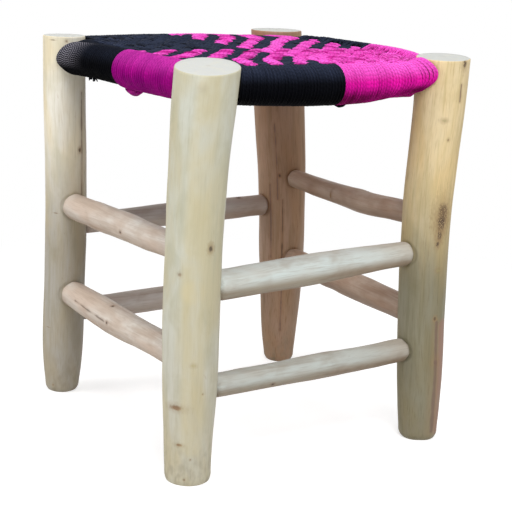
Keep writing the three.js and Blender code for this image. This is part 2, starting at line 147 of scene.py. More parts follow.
def stick_rings(name, gap=0.35 * MM):
    """Centres and radii of the rings that a CAD stick is made of, from its low end on."""
    points = node_points(name)
    along = int(np.argmax(np.ptp(points, axis=0)))
    points = points[np.argsort(points[:, along])]
    cuts = np.nonzero(np.diff(points[:, along]) > gap)[0] + 1
    rings = [np.unique(ring.round(5), axis=0) for ring in np.split(points, cuts)]
    centres = np.array([(ring.min(0) + ring.max(0)) / 2 for ring in rings])
    spread = [np.linalg.norm(ring - c, axis=1).mean() for ring, c in zip(rings, centres)]
    return centres, np.array(spread)


def fit_circle(points, tolerance=0.6 * MM):
    """Centre and radius of the circle through most of the points; those in a hole are left out."""
    kept = points
    for _ in range(4):
        rows = np.c_[2 * kept, np.ones(len(kept))]
        found = np.linalg.lstsq(rows, (kept**2).sum(1), rcond=None)[0]
        centre, radius = found[:2], math.sqrt(found[2] + found[:2] @ found[:2])
        off = np.linalg.norm(points - centre, axis=1) - radius
        kept = points[np.abs(off - np.median(off)) < tolerance]
    return centre, radius


def soften(values, sigma):
    """Values smoothed along their first axis, with their ends held straight."""
    reach = int(3 * sigma)
    kernel = np.exp(-0.5 * (np.arange(-reach, reach + 1) / sigma) ** 2)
    kernel /= kernel.sum()
    columns = values.reshape(len(values), -1)
    smooth = np.empty_like(columns)
    for k, column in enumerate(columns.T):
        before = 2 * column[0] - column[reach:0:-1]
        after = 2 * column[-1] - column[-2:-reach - 2:-1]
        smooth[:, k] = np.convolve(np.r_[before, column, after], kernel, "valid")
    return smooth.reshape(values.shape)


class PostShape:
    """A CAD post read as a bent, tapered pole: centre and radius at any height, and its sawn top."""

    RAYS, STEP, OUTSIDE = 40, 2 * MM, 80 * MM
    FACING_UP, HEAD_ABOVE, HEAD_SKIPPED = 0.9, 420 * MM, 1.5 * MM
    SOLE, FOOT, FOOT_BLEND = 3 * MM, 8 * MM, 14 * MM
    SMOOTHING, SLOPE_ROWS = 12 * MM, 12

    def __init__(self, name):
        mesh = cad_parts[name].data
        points = node_points(name)
        tree = BVHTree.FromPolygons(points.tolist(), [tuple(face.vertices) for face in mesh.polygons])
        top = [f for f in mesh.polygons if f.normal.z > self.FACING_UP and f.center.z > self.HEAD_ABOVE]
        area = sum(f.area for f in top)
        self.top_normal = sum((f.normal * f.area for f in top), Vector()).normalized()
        self.top_point = sum((f.center * f.area for f in top), Vector()) / area
        rim = min(points[v][2] for f in top for v in f.vertices)
        low, high = points[points[:, 2] < self.SOLE].mean(0), np.array(self.top_point)
        self.heights = np.arange(0.5 * MM, rim - self.HEAD_SKIPPED, self.STEP)
        rows = []
        for height in self.heights:
            share = height / self.top_point.z
            guess = low * (1 - share) + high * share
            hits = []
            for k in range(self.RAYS):
                turn = FULL_TURN * k / self.RAYS
                out = Vector((math.cos(turn), math.sin(turn), 0))
                start = Vector((guess[0], guess[1], height)) + out * self.OUTSIDE
                hit = tree.ray_cast(start, -out)[0]
                if hit is not None:
                    hits.append((hit.x, hit.y))
            centre, radius = fit_circle(np.array(hits))
            rows.append((centre[0], centre[1], radius))
        rows = np.array(rows)
        smooth = soften(rows, self.SMOOTHING / self.STEP)
        above_foot = np.clip((self.heights - self.FOOT) / self.FOOT_BLEND, 0, 1)[:, None]
        self.rows = rows * (1 - above_foot) + smooth * above_foot

    def at(self, height):
        """x, y and radius at each height, carried on straight above the last one read."""
        last, back = self.heights[-1], -self.SLOPE_ROWS
        inside = np.minimum(height, last)
        found = np.stack([np.interp(inside, self.heights, column) for column in self.rows.T], -1)
        slope = (self.rows[-1] - self.rows[back]) / (last - self.heights[back])
        return found + np.maximum(height - last, 0)[..., None] * slope

    def top_height(self, x, y):
        """Height of the sawn face over a point."""
        n, p = self.top_normal, self.top_point
        return p.z - (n.x * (x - p.x) + n.y * (y - p.y)) / n.z


POST_SHAPES = {}


def post_shape(name):
    """The post's shape, read once."""
    if name not in POST_SHAPES:
        POST_SHAPES[name] = PostShape(name)
    return POST_SHAPES[name]


def patchy(u, v, cells_round, cell_length, seed, longest=1.2):
    """Smooth noise from -1 to 1 that closes round a stick: u in turns, v along it in metres."""
    random = np.random.default_rng(seed)
    rows = int(longest / cell_length) + 4
    grid = random.uniform(-1, 1, (rows, cells_round))
    a, b = np.mod(u, 1) * cells_round, v / cell_length + 1
    i, j = np.floor(a).astype(int), np.floor(b).astype(int)
    s, t = a - i, b - j
    s, t = s * s * (3 - 2 * s), t * t * (3 - 2 * t)
    i, k = i % cells_round, (i + 1) % cells_round
    j = np.clip(j, 0, rows - 2)
    low = grid[j, i] * (1 - s) + grid[j, k] * s
    high = grid[j + 1, i] * (1 - s) + grid[j + 1, k] * s
    return low * (1 - t) + high * t


def ease(low, high, value):
    """0 below low, 1 above high, with a smooth step between."""
    share = np.clip((value - low) / (high - low), 0, 1)
    return share * share * (3 - 2 * share)


# Meshes.


def add_piece(name, points, faces, materials, replaced, attributes=None, second=None):
    """A smooth-shaded mesh piece that rides on the stool and stands for the named CAD nodes."""
    mesh = bpy.data.meshes.new(name)
    mesh.from_pydata(np.asarray(points).tolist(), [], faces)
    for key, values in (attributes or {}).items():
        held = mesh.attributes.new(key, "FLOAT_VECTOR", "POINT")
        held.data.foreach_set("vector", np.asarray(values, dtype=np.float32).ravel())
    for material in materials:
        mesh.materials.append(material)
    if second is not None:
        mesh.polygons.foreach_set("material_index", second)
    mesh.shade_smooth()
    mesh.validate()
    piece = bpy.data.objects.new(name, mesh)
    bpy.context.scene.collection.objects.link(piece)
    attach(piece, BODY)
    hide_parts(*replaced)
    return piece


def grid_faces(rows, columns, first=0):
    """Quads of a grid of points that closes in its columns."""
    i, j = np.meshgrid(np.arange(rows - 1), np.arange(columns), indexing="ij")
    k = (j + 1) % columns
    low, high = i * columns, (i + 1) * columns
    corners = np.stack([low + j, low + k, high + k, high + j], -1)
    return (corners.reshape(-1, 4) + first).tolist()


def end_faces(rows, columns, first=0):
    """The two faces that close a grid of points at its ends."""
    last = first + (rows - 1) * columns
    return [[first + k for k in reversed(range(columns))], [last + k for k in range(columns)]]


class Tubes:
    """Round cords along paths, gathered for one mesh."""

    SIDES = 6

    def __init__(self):
        self.points, self.lay, self.faces, self.shade = [], [], [], []
        self.count = 0

    def add(self, path, across, radius, shade):
        """A tube along the path, with its seam to one side; shade is tone with painted shade in it,
        painted light from above, and a painted sheen on black, painted shade on pink.
        """
        tangent = unit(np.gradient(path, axis=0))
        side = np.zeros_like(path)
        side[:, across] = 1
        side = unit(side - (side * tangent).sum(1)[:, None] * tangent)
        up = np.cross(tangent, side)
        turn = FULL_TURN * (np.arange(self.SIDES) + 0.5) / self.SIDES
        ring = side[:, None] * np.cos(turn)[None, :, None] + up[:, None] * np.sin(turn)[None, :, None]
        radius = np.broadcast_to(radius, len(path))
        self.points.append((path[:, None] + ring * radius[:, None, None]).reshape(-1, 3))
        lay = np.empty((len(path), self.SIDES, 3))
        lay[..., 0] = np.r_[0, np.cumsum(np.linalg.norm(np.diff(path, axis=0), axis=1))][:, None]
        lay[..., 1], lay[..., 2] = np.cos(turn), np.sin(turn)
        self.lay.append(lay.reshape(-1, 3))
        self.shade.append(np.repeat(np.broadcast_to(shade, (len(path), 3)), self.SIDES, axis=0))
        self.faces += grid_faces(len(path), self.SIDES, self.count)
        self.faces += end_faces(len(path), self.SIDES, self.count)
        self.count += len(path) * self.SIDES

    def piece(self, name, material, slot, replaced):
        """The mesh piece of all tubes."""
        attributes = {"lay": np.concatenate(self.lay), "shade": np.concatenate(self.shade)}
        points = np.concatenate(self.points)
        return add_piece(name, points, self.faces, [material], replaced, attributes)


# Shader sums.


class Socket:
    """A node's output that takes part in sums: each operation adds its Math node."""

    def __init__(self, shader, output):
        self.shader, self.output = shader, output

    def math(self, operation, *values, clamp=False):
        """A Math node on this value and the others."""
        settings = {"operation": operation, "use_clamp": clamp}
        return self.shader.node("ShaderNodeMath", settings, dict(enumerate((self, *values))))

    def __add__(self, other):
        return self.math("ADD", other)

    def __sub__(self, other):
        return self.math("SUBTRACT", other)

    def __rsub__(self, other):
        return self.math("MULTIPLY_ADD", -1.0, other)

    def __mul__(self, other):
        return self.math("MULTIPLY", other)

    __radd__, __rmul__ = __add__, __mul__

    def between(self, low, high, start=0.0, end=1.0):
        """The value carried from low..high to start..end with a smooth step."""
        settings = {"interpolation_type": "SMOOTHSTEP"}
        values = {"Value": self, "From Min": low, "From Max": high, "To Min": start, "To Max": end}
        if low > high:
            values.update({"From Min": high, "From Max": low, "To Min": end, "To Max": start})
        return self.shader.node("ShaderNodeMapRange", settings, values)


class Shader:
    """A node tree of a material or of the world, written as sums."""

    def __init__(self, name, kind="materials"):
        self.owner = getattr(bpy.data, kind).new(name)
        self.owner.use_nodes = True
        self.tree = self.owner.node_tree
        self.tree.nodes.clear()

    def node(self, kind, settings=None, values=None, out=0):
        """A node of any kind: its settings first, then its sockets' values or links."""
        made = self.tree.nodes.new(kind)
        for key, value in (settings or {}).items():
            setattr(made, key, value)
        for key, value in (values or {}).items():
            if isinstance(value, Socket):
                self.tree.links.new(value.output, made.inputs[key])
            elif hasattr(made.inputs[key].default_value, "__len__") and len(value) == 3:
                wide = len(made.inputs[key].default_value)
                made.inputs[key].default_value = (*value, 1) if wide == 4 else value
            else:
                made.inputs[key].default_value = value
        return Socket(self, made.outputs[out]) if made.outputs else None

    def attribute(self, name):
        """A vector that the mesh holds at its points."""
        return self.node("ShaderNodeAttribute", {"attribute_name": name}, out="Vector")

    def parts(self, vector):
        """The three numbers of a vector."""
        first = self.node("ShaderNodeSeparateXYZ", {}, {0: vector})
        return [Socket(self, output) for output in first.output.node.outputs]

    def vector(self, operation, first, second=None, out=0, scale=None):
        """A Vector Math node; its output 1 is a number."""
        values = {0: first}
        if second is not None:
            values[1] = second
        if scale is not None:
            values["Scale"] = scale
        return self.node("ShaderNodeVectorMath", {"operation": operation}, values, out)

    def mix(self, first, second, share, blend="MIX"):
        """Two colours mixed."""
        settings = {"data_type": "RGBA", "blend_type": blend}
        return self.node("ShaderNodeMix", settings, {0: share, 6: first, 7: second}, 2)

    def noise(self, vector, scale, detail=2.0, roughness=0.5, distortion=0.0):
        """Noise from 0 to 1."""
        values = {"Vector": vector, "Scale": scale, "Detail": detail, "Roughness": roughness,
                  "Distortion": distortion}
        return self.node("ShaderNodeTexNoise", {}, values)

    def grain(self, place, stretch, detail=2.0, roughness=0.5, distortion=0.0):
        """Noise with its own count of waves in a metre in each direction."""
        return self.noise(self.vector("MULTIPLY", place, stretch), 1.0, detail, roughness, distortion)

    def bump(self, height, distance, strength=0.5):
        """A normal that follows a height."""
        values = {"Height": height, "Distance": distance, "Strength": strength}
        return self.node("ShaderNodeBump", {}, values)

    def finish(self, **sockets):
        """Joins the surface's sockets to the output."""
        values = {key.replace("_", " "): value for key, value in sockets.items()}
        surface = self.node("ShaderNodeBsdfPrincipled", {}, values)
        self.node("ShaderNodeOutputMaterial", {}, {"Surface": surface})
        return self.owner


def along_line(shader, place, start, end):
    """Distance in metres from the line between two places on a stick."""
    start, end = Vector(start), Vector(end)
    way = end - start
    off = shader.vector("SUBTRACT", place, tuple(start))
    share = shader.vector("DOT_PRODUCT", off, tuple(way / way.length_squared), 1)
    nearest = shader.vector("SCALE", tuple(way), scale=share.math("ADD", 0.0, clamp=True))
    return shader.vector("LENGTH", shader.vector("SUBTRACT", off, nearest), out=1)


# A mark's look: its stretch down the stick and across it, its heart's colour, how strong the heart
# is, and how strong the worn wood round it is.
MARK_LOOKS = {
    "knot": ((0.72, 1, 1), (62, 46, 36), 0.8, 0.55),
    "speck": ((0.9, 1, 1), (118, 88, 60), 0.55, 0.25),
    "smudge": ((1.0, 0.6, 0.6), (158, 150, 104), 0.45, 0.3),
    "scar": ((1.1, 0.45, 0.45), (128, 94, 58), 0.85, 0.3),
    "bark": ((0.5, 0.9, 0.9), (84, 64, 48), 0.9, 0.8),
    "bump": ((0.8, 1, 1), (176, 166, 120), 0.0, 0.2),
    "slot": ((1.6, 0.28, 0.28), (96, 78, 64), 0.8, 0.3),
}
# Soft bands of colour down a stick, and thin dark lines: colour and strength.
BAND_LOOKS = {"stain": ((152, 112, 98), 0.75), "warmth": ((210, 196, 152), 0.42)}
LINE_LOOKS = {"crack": ((74, 56, 42), 0.6), "seam": ((112, 86, 74), 0.7)}

GRIME = srgb(138, 128, 108)
GRIME_TO, GRIME_FULL = 75 * MM, 4 * MM
LINE_WANDER = 4 * MM
WOOD_RELIEF = 0.5 * MM
DOWN_POST, UP_RUNG = 0, 2


def wood(name, tones, marks, streaks, low_tint, high_tint, change, axis, lift=1.0):
    """Bare wood with its grain down the stick, and the marks that belong on it."""
    shader = Shader(name)
    place = shader.attribute("place")
    pale, warm, shade, grain_tone, wear = tones
    broad = shader.grain(place, (7, 26, 26), 3.0, 0.55, 0.6)
    cloud = shader.grain(place, (22, 40, 40), 3.0, 0.6, 0.3)
    streak = shader.grain(place, (9, 150, 150), 3.0, 0.6, 0.5)
    fibre = shader.grain(place, (44, 900, 900), 2.0, 0.6)
    spots = shader.grain(place, (70, 150, 150))
    colour = shader.mix(pale, warm, broad.between(0.34, 0.7))
    colour = shader.mix(colour, shade, cloud.between(0.45, 0.75) * 0.55)
    colour = shader.mix(colour, shade, streak.between(0.46, 0.74) * (0.15 + streaks))
    colour = shader.mix(colour, grain_tone, fibre.between(0.48, 0.78) * (0.14 + streaks * 0.6))
    colour = shader.mix(colour, wear, spots.between(0.7, 0.82) * 0.3)
    level = shader.parts(place)[axis]
    # The tints below and above are partly painted light and shade (see the posts' and rungs' looks).
    uneven = (broad - 0.5) * 0.5 * (change[1] - change[0])
    tint_here = shader.mix(low_tint, high_tint, (level + uneven).between(*change))
    colour = shader.mix(colour, tint_here, 1.0, "MULTIPLY")
    if axis == DOWN_POST:
        grime = level.between(GRIME_TO, GRIME_FULL) * spots.between(0.4, 0.7)
        colour = shader.mix(colour, GRIME, grime * 0.45)
    height = fibre * 0.4 + streak * 0.6
    rough = streak.between(0.3, 0.8, 0.5, 0.7)
    for kind, spot, size, *end in marks:
        if kind in BAND_LOOKS:
            tone, strong = BAND_LOOKS[kind]
            band = along_line(shader, place, spot, *end).between(size * 1.5, size * 0.6)
            share = band * cloud.between(0.25, 0.6, strong * 0.33, strong)
            colour = shader.mix(colour, srgb(*tone), share)
        elif kind in LINE_LOOKS:
            tone, strong = LINE_LOOKS[kind]
            wander = shader.grain(place, (50, 50, 50), 2.0, 0.6)
            off = along_line(shader, place, spot, *end) + (wander - 0.5) * LINE_WANDER
            off = off.math("ABSOLUTE")
            line, halo = off.between(size * 1.5, size * 0.25), off.between(size * 5, size)
            colour = shader.mix(colour, wear, halo * 0.3)
            colour = shader.mix(colour, srgb(*tone), line * strong)
            height = height - line * 1.3
        else:
            squash, tone, strong, around = MARK_LOOKS[kind]
            off = shader.vector("MULTIPLY", shader.vector("SUBTRACT", place, tuple(spot)), squash)
            warp = shader.grain(place, (260, 420, 420), 2.0, 0.6)
            off = shader.vector("LENGTH", off, out=1) * (0.45 + warp * 1.1)
            heart, ring = off.between(size * 0.7, size * 0.25), off.between(size * 1.6, size * 0.5)
            if kind == "bark":
                heart = heart * shader.noise(place, 620.0, 1.0).between(0.32, 0.52)
                ring = ring * 0.5
            colour = shader.mix(colour, wear, ring * around)
            colour = shader.mix(colour, srgb(*tone), heart * strong)
            height = height - heart * strong
            rough = rough + heart * 0.1
    normal = shader.bump(height, WOOD_RELIEF * lift)
    return shader.finish(Base_Color=colour, Roughness=rough, Normal=normal)


YEAR_RING = 2.3 * MM
PITH = (0, 2 * MM, 2 * MM)
PITH_EDGE, PITH_HEART = 4.2 * MM, 0.8 * MM


def end_grain(name, pale, ring_tone, heart_tone):
    """A sawn end: rings round the heart, blotches and saw marks."""
    shader = Shader(name)
    place = shader.attribute("place")
    off = shader.vector("MULTIPLY", shader.vector("SUBTRACT", place, PITH), (0, 1, 1))
    bend = shader.grain(place, (0, 60, 60))
    away = shader.vector("LENGTH", off, out=1) + (bend - 0.5) * LINE_WANDER
    rings = (away * (FULL_TURN / YEAR_RING)).math("SINE") * 0.5 + 0.5
    blotch = shader.grain(place, (0, 90, 90), 3.0, 0.6)
    saw = shader.grain(place, (0, 60, 1500), 2.0, 0.6)
    colour = shader.mix(pale, ring_tone, rings * 0.3 + blotch.between(0.45, 0.75) * 0.45)
    colour = shader.mix(colour, heart_tone, away.between(PITH_EDGE, PITH_HEART) * 0.4)
    normal = shader.bump(rings * 0.3 + saw * 0.7, 0.3 * MM)
    return shader.finish(Base_Color=colour, Roughness=saw.between(0.3, 0.7, 0.62, 0.8), Normal=normal)


PLY_LAY, STRAND_LAY, THREAD_LAY = 4.6 * MM, 1.2 * MM, 2.3 * MM
CORD_RELIEF = 0.2 * MM


def cord_finish(name, deep, bright, sky_tone, sheen_and_shade_tone, hatching, roughness, specular):
    """Twisted cord: plies wind round it with painted shade in their grooves, each turn has its own shade,
    painted light falls on it from above, and a painted sheen on the black and painted shade on the pink
    show in its threads.
    """
    shader = Shader(name)
    run, across, up = shader.parts(shader.attribute("lay"))
    tone, sky, sheen_and_shade = shader.parts(shader.attribute("shade"))

    def wound(lay):
        """A wave from -1 to 1 that winds round the cord once in a length."""
        angle = run * (FULL_TURN / lay)
        return angle.math("SINE") * across + angle.math("COSINE") * up

    ply = wound(PLY_LAY)
    hatch = wound(THREAD_LAY).between(-0.3, 0.8) * hatching + (1 - hatching) * 0.5
    patch = shader.noise(shader.node("ShaderNodeTexCoord", out="Object"), 38.0)
    colour = shader.mix(deep, bright, tone * 0.75 + patch.between(0.3, 0.7) * 0.25)
    # Painted highlight: the sky tone is mixed in as far as light falls on the cord from above.
    colour = shader.mix(colour, sky_tone, sky * patch.between(0.2, 0.8, 0.7, 1.0))
    # Painted shade in the grooves between the plies.
    colour = shader.mix(colour, deep, ply.between(0.0, -0.9) * 0.28)
    # Painted sheen on the black cord and painted shade on the pink, drawn in the threads' hatching.
    colour = shader.mix(colour, sheen_and_shade_tone, sheen_and_shade * hatch * 0.62)
    rough = patch.between(0.3, 0.7, roughness - 0.05, roughness + 0.07)
    normal = shader.bump(ply * 0.75 + wound(STRAND_LAY) * 0.25, CORD_RELIEF, 0.7)
    return shader.finish(Base_Color=colour, Roughness=rough, Normal=normal, Specular_IOR_Level=specular)


# Settings.


def metres(label, about, default):
    """A length."""
    return FloatProperty(name=label, description=about, default=default, min=0, precision=5,
                         subtype="DISTANCE", unit="LENGTH")


def tint(label, about, default):
    """A colour."""
    return FloatVectorProperty(name=label, description=about, default=default, subtype="COLOR",
                               size=3, min=0, max=1)


def share_of(label, about, default):
    """A share of something."""
    return FloatProperty(name=label, description=about, default=default, min=0, max=2,
                         subtype="FACTOR")


def watts(label, about, default):
    """A lamp's power."""
    return FloatProperty(name=label, description=about, default=default, min=0, unit="POWER")


def count_of(label, about, default, least=1):
    """A whole number."""
    return IntProperty(name=label, description=about, default=default, min=least)


class StoolWoodSizes(PropertyGroup):
    """Sizes of the posts' and rungs' surface."""
    grid: metres("Grid", "Distance between the points of a post's surface", 1.6 * MM)
    facet: metres("Facet", "Depth of the flats that the drawknife leaves", 0.55 * MM)
    rim: metres("Rim", "Rounding of a sawn end's edge", 1.5 * MM)
    hole_depth: metres("Hole depth", "Depth of the hollow round a rung where it enters a post", 1.2 * MM)
    rail_ease: metres("Rail ease", "How much thinner a rail is than the cord's bed", 2.6 * MM)
    hole_gap: metres("Hole gap", "Gap between a rung and the edge of its hole", 0.1 * MM)


class StoolCordSizes(PropertyGroup):
    """Sizes and counts of the wound cord."""
    cord: metres("Cord", "Thickness of one cord", 2.3 * MM)
    ridge: metres("Ridge", "How much one cord of each pair stands above the other on a roll", 0.45 * MM)
    relief_pink: metres("Relief, pink",
                        "How far a pink bundle rises or dips where it crosses another", 2.1 * MM)
    relief_black: metres("Relief, black",
                         "How far a black bundle rises or dips where it crosses another", 1.3 * MM)
    rope_width: share_of("Bundle width",
                         "Width over a bundle's cord middles, as a share of its room", 0.86)
    rope_height: metres("Bundle height",
                        "Height over the cord middles of a bundle in the weave", 2.2 * MM)
    rope_turn: metres("Bundle twist",
                      "Length in which a bundle's cords wind once round each other", 74 * MM)
    flare: metres("Flare", "How far the end turns slide towards the posts", 15.5 * MM)
    flare_reach: metres("Flare reach", "Length of roll at each end in which turns slide", 62 * MM)
    swell: share_of("Swell", "How much thicker a cord is in the weave, as a share", 0.18)
    field_front: metres("Weave level, front",
                        "Height of the weave's middle behind the front roll", 437.4 * MM)
    field_sag: metres("Weave sag", "How much lower the weave is half way", 0.5 * MM)
    field_back: metres("Weave level, back",
                       "Height of the weave's middle before the back roll", 442.8 * MM)
    under_front: metres("Lower level, front",
                        "Height of the lower weave's middle at the front", 400.2 * MM)
    under_back: metres("Lower level, back", "Height of the lower weave's middle at the back", 402.4 * MM)
    warp_edge_front: share_of("Warp edge, front", "Where the warps turn pink on the front roll", 0.512)
    warp_edge_back: share_of("Warp edge, back", "Where the warps turn pink on the back roll", 0.468)
    weft_edge_left: share_of("Weft edge, left", "Where the wefts turn black on the left roll", 0.485)
    weft_edge_right: share_of("Weft edge, right", "Where the wefts turn black on the right roll", 0.385)
    room_left: metres("Weave's reach, left",
                      "How far left of the middle the warps spread half way", 149 * MM)
    room_right: metres("Weave's reach, right",
                       "How far right of the middle the warps spread half way", 147 * MM)
    room_front: metres("Weave's reach, front",
                       "How far in front of the middle the wefts spread half way", 157 * MM)
    room_back: metres("Weave's reach, back",
                      "How far behind the middle the wefts spread half way", 146 * MM)
    tuck_right: metres("Tuck, right", "How much closer the last warps lie under the front rail", 5.0 * MM)
    tuck: metres("Tuck", "How much closer the black wefts lie under the left rail", 3.6 * MM)
    heap: metres("Heap", "How much higher the last turns lie against the front right post", 5.0 * MM)
    pinch: share_of("Pinch", "How much a bundle narrows where it dives", 0.42)
    cords: count_of("Cords", "Cords in each bundle", 4)
    warp_bundles: count_of("Warps", "Bundles from front to back", 32)
    weft_bundles: count_of("Wefts", "Bundles from side to side", 28)
    warp_black: count_of("Black warps", "Black bundles, from the left", 16)
    weft_pink: count_of("Pink wefts", "Pink bundles, from the front", 14)
    phase: count_of("Phase", "Where the twill's slant starts", 0, 0)
    seed: count_of("Seed", "Seed of the hand's unevenness", 7, 0)


class StoolColours(PropertyGroup):
    """Colours of the wood and the cord."""
    post_pale: tint("Post, pale", "The near post's palest wood", srgb(201, 202, 192))
    post_warm: tint("Post, warm", "The posts' warmer wood", srgb(194, 186, 157))
    post_shade: tint("Post, streaks", "The posts' grey-green streaks", srgb(175, 173, 149))
    rung_pale: tint("Rung, pale", "The front rungs' pale wood", srgb(206, 204, 196))
    rung_warm: tint("Rung, warm", "The rungs' pinkish brown wood", srgb(190, 174, 158))
    rung_shade: tint("Rung, streaks", "The rungs' darker streaks", srgb(166, 148, 130))
    end_pale: tint("Sawn end", "A sawn end's wood", srgb(196, 198, 196))
    # The deep tones are the cords' darker turns and their painted shade; the sky tones are a painted
    # highlight where light falls from above.
    pink: tint("Pink", "The pink cord", srgb(252, 28, 184))
    pink_deep: tint("Pink, deep", "The pink cord's deeper turns", srgb(96, 1, 58))
    pink_sky: tint("Pink, painted highlight", "The pink cord where the light falls from above", srgb(255, 110, 226))
    black: tint("Black", "The black cord", srgb(12, 13, 18))
    black_deep: tint("Black, deep", "The black cord's deeper turns", srgb(2, 2, 4))
    black_sky: tint("Black, painted highlight", "The black cord where the light falls from above", srgb(49, 56, 76))


class StoolStage(PropertyGroup):
    """Camera and lamps."""
    lens: FloatProperty(name="Lens", description="Focal length in mm on the sensor", default=96.27,
                        min=1, subtype="DISTANCE_CAMERA")
    key: watts("Key", "Soft lamp from the front", 27.0)
    side: watts("Side", "Soft lamp from the left", 13.0)
    top: watts("Top", "Soft lamp from above", 6.0)
    world: share_of("Surroundings", "Brightness of the surroundings", 0.42)
    glow: share_of("Paper glow", "The paper's own brightness where the camera sees it", 0.6)
    floor: tint("Floor", "The floor's colour", (0.72, 0.72, 0.72))


# Posts.

# A mark's relief: its stretch, how high it swells and how deep its heart sinks.
MARK_RELIEF = {
    "knot": ((0.75, 1, 1), 0.5 * MM, 0.9 * MM),
    "scar": ((2.2, 0.7, 0.7), 0.5 * MM, 0.9 * MM),
    "smudge": ((0.75, 1, 1), 0.3 * MM, 0),
    "bark": ((0.75, 1, 1), 0.3 * MM, 0),
    "speck": ((0.75, 1, 1), 0, 0.8 * MM),
    "slot": ((1.6, 0.4, 0.4), 0, 0.8 * MM),
}
BUMP_STRETCH, BUMP_HEIGHT_SHARE = (0.75, 1, 1), 0.3

# A post's look: gain on the set colours, tint below and above, the heights in metres between
# which one turns into the other, and how streaky it is. These are partly painted sunlight and shade:
# the back left post's whitish top and darker lower part, the front right post's bright, warm top
# and much of the back right post's brown; the rest is the wood's own colour.
POST_LOOKS = {
    "leg_front_left": ((1.0, 1.0, 0.99), (0.97, 0.93, 0.88), (1.0, 1.0, 0.97), (0.05, 0.3), 0.14),
    "leg_front_right": ((0.97, 0.95, 0.9), (0.45, 0.42, 0.34), (1.45, 1.2, 0.87), (0.17, 0.34), 0.55),
    "leg_back_left": ((1.04, 1.0, 0.95), (0.66, 0.63, 0.64), (1.38, 1.36, 1.42), (0.18, 0.36), 0.3),
    "leg_back_right": ((0.74, 0.47, 0.35), (0.9, 0.9, 0.9), (0.91, 0.86, 0.83), (0.1, 0.35), 0.85),
}
POST_GRAIN, POST_WEAR = srgb(154, 142, 112), srgb(150, 122, 84)
END_RING, END_HEART = srgb(206, 204, 190), srgb(184, 178, 164)

# Rings across a sawn end, as shares of its radius, and the marks of the saw.
CAP_SHARES = (0.8, 0.6, 0.4, 0.2, 0.06)
SAW_DEPTH, SAW_PITCH = 0.25 * MM, FULL_TURN / 900
HOLE_LIP, HOLE_SIDE = 0.9 * MM, -0.15


def side_of(stick):
    """The side of the stool that a rung or rail is on, from its name."""
    return stick.split("_")[1]


def dyed(colour, gain):
    """A colour times a gain, channel by channel."""
    return tuple(min(a * b, 1) for a, b in zip(colour, gain))


def post_mark_places(name):
    """The post's marks in its own coordinates: height, then the two across."""
    shape = post_shape(name)

    def place(height, angle):
        """The place of a height and an angle on the post's skin."""
        radius = float(shape.at(np.array(height * MM))[2])
        turn = math.radians(angle)
        return (height * MM, radius * math.cos(turn), radius * math.sin(turn))

    return [(kind, place(height, angle), size * MM, *([place(*end)] if end else []))
            for kind, height, angle, size, *end in POST_MARKS[name]]


def mark_relief(place, marks):
    """How far the marks lift or sink a stick's surface, in metres."""
    lift = np.zeros(place.shape[:-1])
    for kind, spot, size, *end in marks:
        if end:
            continue
        stretch, swell, sink = MARK_RELIEF.get(kind, (BUMP_STRETCH, 0, 0))
        off = np.linalg.norm((place - np.array(spot)) * stretch, axis=-1) / size
        if kind == "bump":
            lift += BUMP_HEIGHT_SHARE * size * np.exp(-((off / 1.25) ** 2))
        else:
            lift += swell * np.exp(-((off / 1.5) ** 2)) - sink * np.exp(-((off / 0.55) ** 2))
    return lift


def entries_at(post):
    """Each rung end that goes into the post: a point on its axis, the way in, and its radius."""
    found = []
    for rung in RUNGS:
        posts = SIDE_POSTS[side_of(rung)]
        if post in posts:
            centres, radii = rung_body(rung)
            order = slice(None, None, -1 if posts.index(post) else 1)
            centres, radii = centres[order], radii[order]
            found.append((centres[0], unit(centres[0] - centres[1]), radii[0]))
    return found


def sink_entries(points, radial, entries, sizes):
    """Sinks the post's skin round each rung that enters it."""
    for spot, way, rung_radius in entries:
        off = points - spot
        away = np.linalg.norm(off - (off @ way)[..., None] * way, axis=-1)
        edge = rung_radius + sizes.hole_gap
        hollow = np.where((radial @ way[:2]) < HOLE_SIDE, ease(edge + HOLE_LIP, edge, away), 0)
        points += way * (hollow * sizes.hole_depth)[..., None]


def post_heights(top, sizes):
    """Heights of a post's rings, closer together on its rounded edges."""
    rim = sizes.rim
    bevel = np.linspace(0, math.pi / 2, 5)[:-1]
    body = np.linspace(rim, top - rim, int(top / sizes.grid))
    heights = np.r_[rim * (1 - np.cos(bevel)), body, top - rim * (1 - np.sin(bevel[::-1]))]
    return np.unique(heights.clip(0, top).round(7))


def close_end(points, place, spots, places, row, up):
    """Lays rings across a post's end, added to the spots and their places, and gives the faces."""
    rim, columns, base = points[row], points.shape[1], sum(len(rows) for rows in spots)
    middle = rim.mean(0)
    for share in CAP_SHARES:
        ring = middle + (rim - middle) * share
        if up:
            ring[:, 2] += SAW_DEPTH * np.sin(FULL_TURN * ring[:, 1] / SAW_PITCH + share * 5)
        spots.append(ring)
        places.append(place[row] * (1, share, share))
    rings = [row * columns + np.arange(columns)]
    rings += [base + k * columns + np.arange(columns) for k in range(len(CAP_SHARES))]
    faces = []
    for a, b in zip(rings, rings[1:]):
        faces += np.stack([a, np.roll(a, -1), np.roll(b, -1), b], -1).tolist()
    faces.append(rings[-1].tolist())
    return faces if up else [face[::-1] for face in faces]


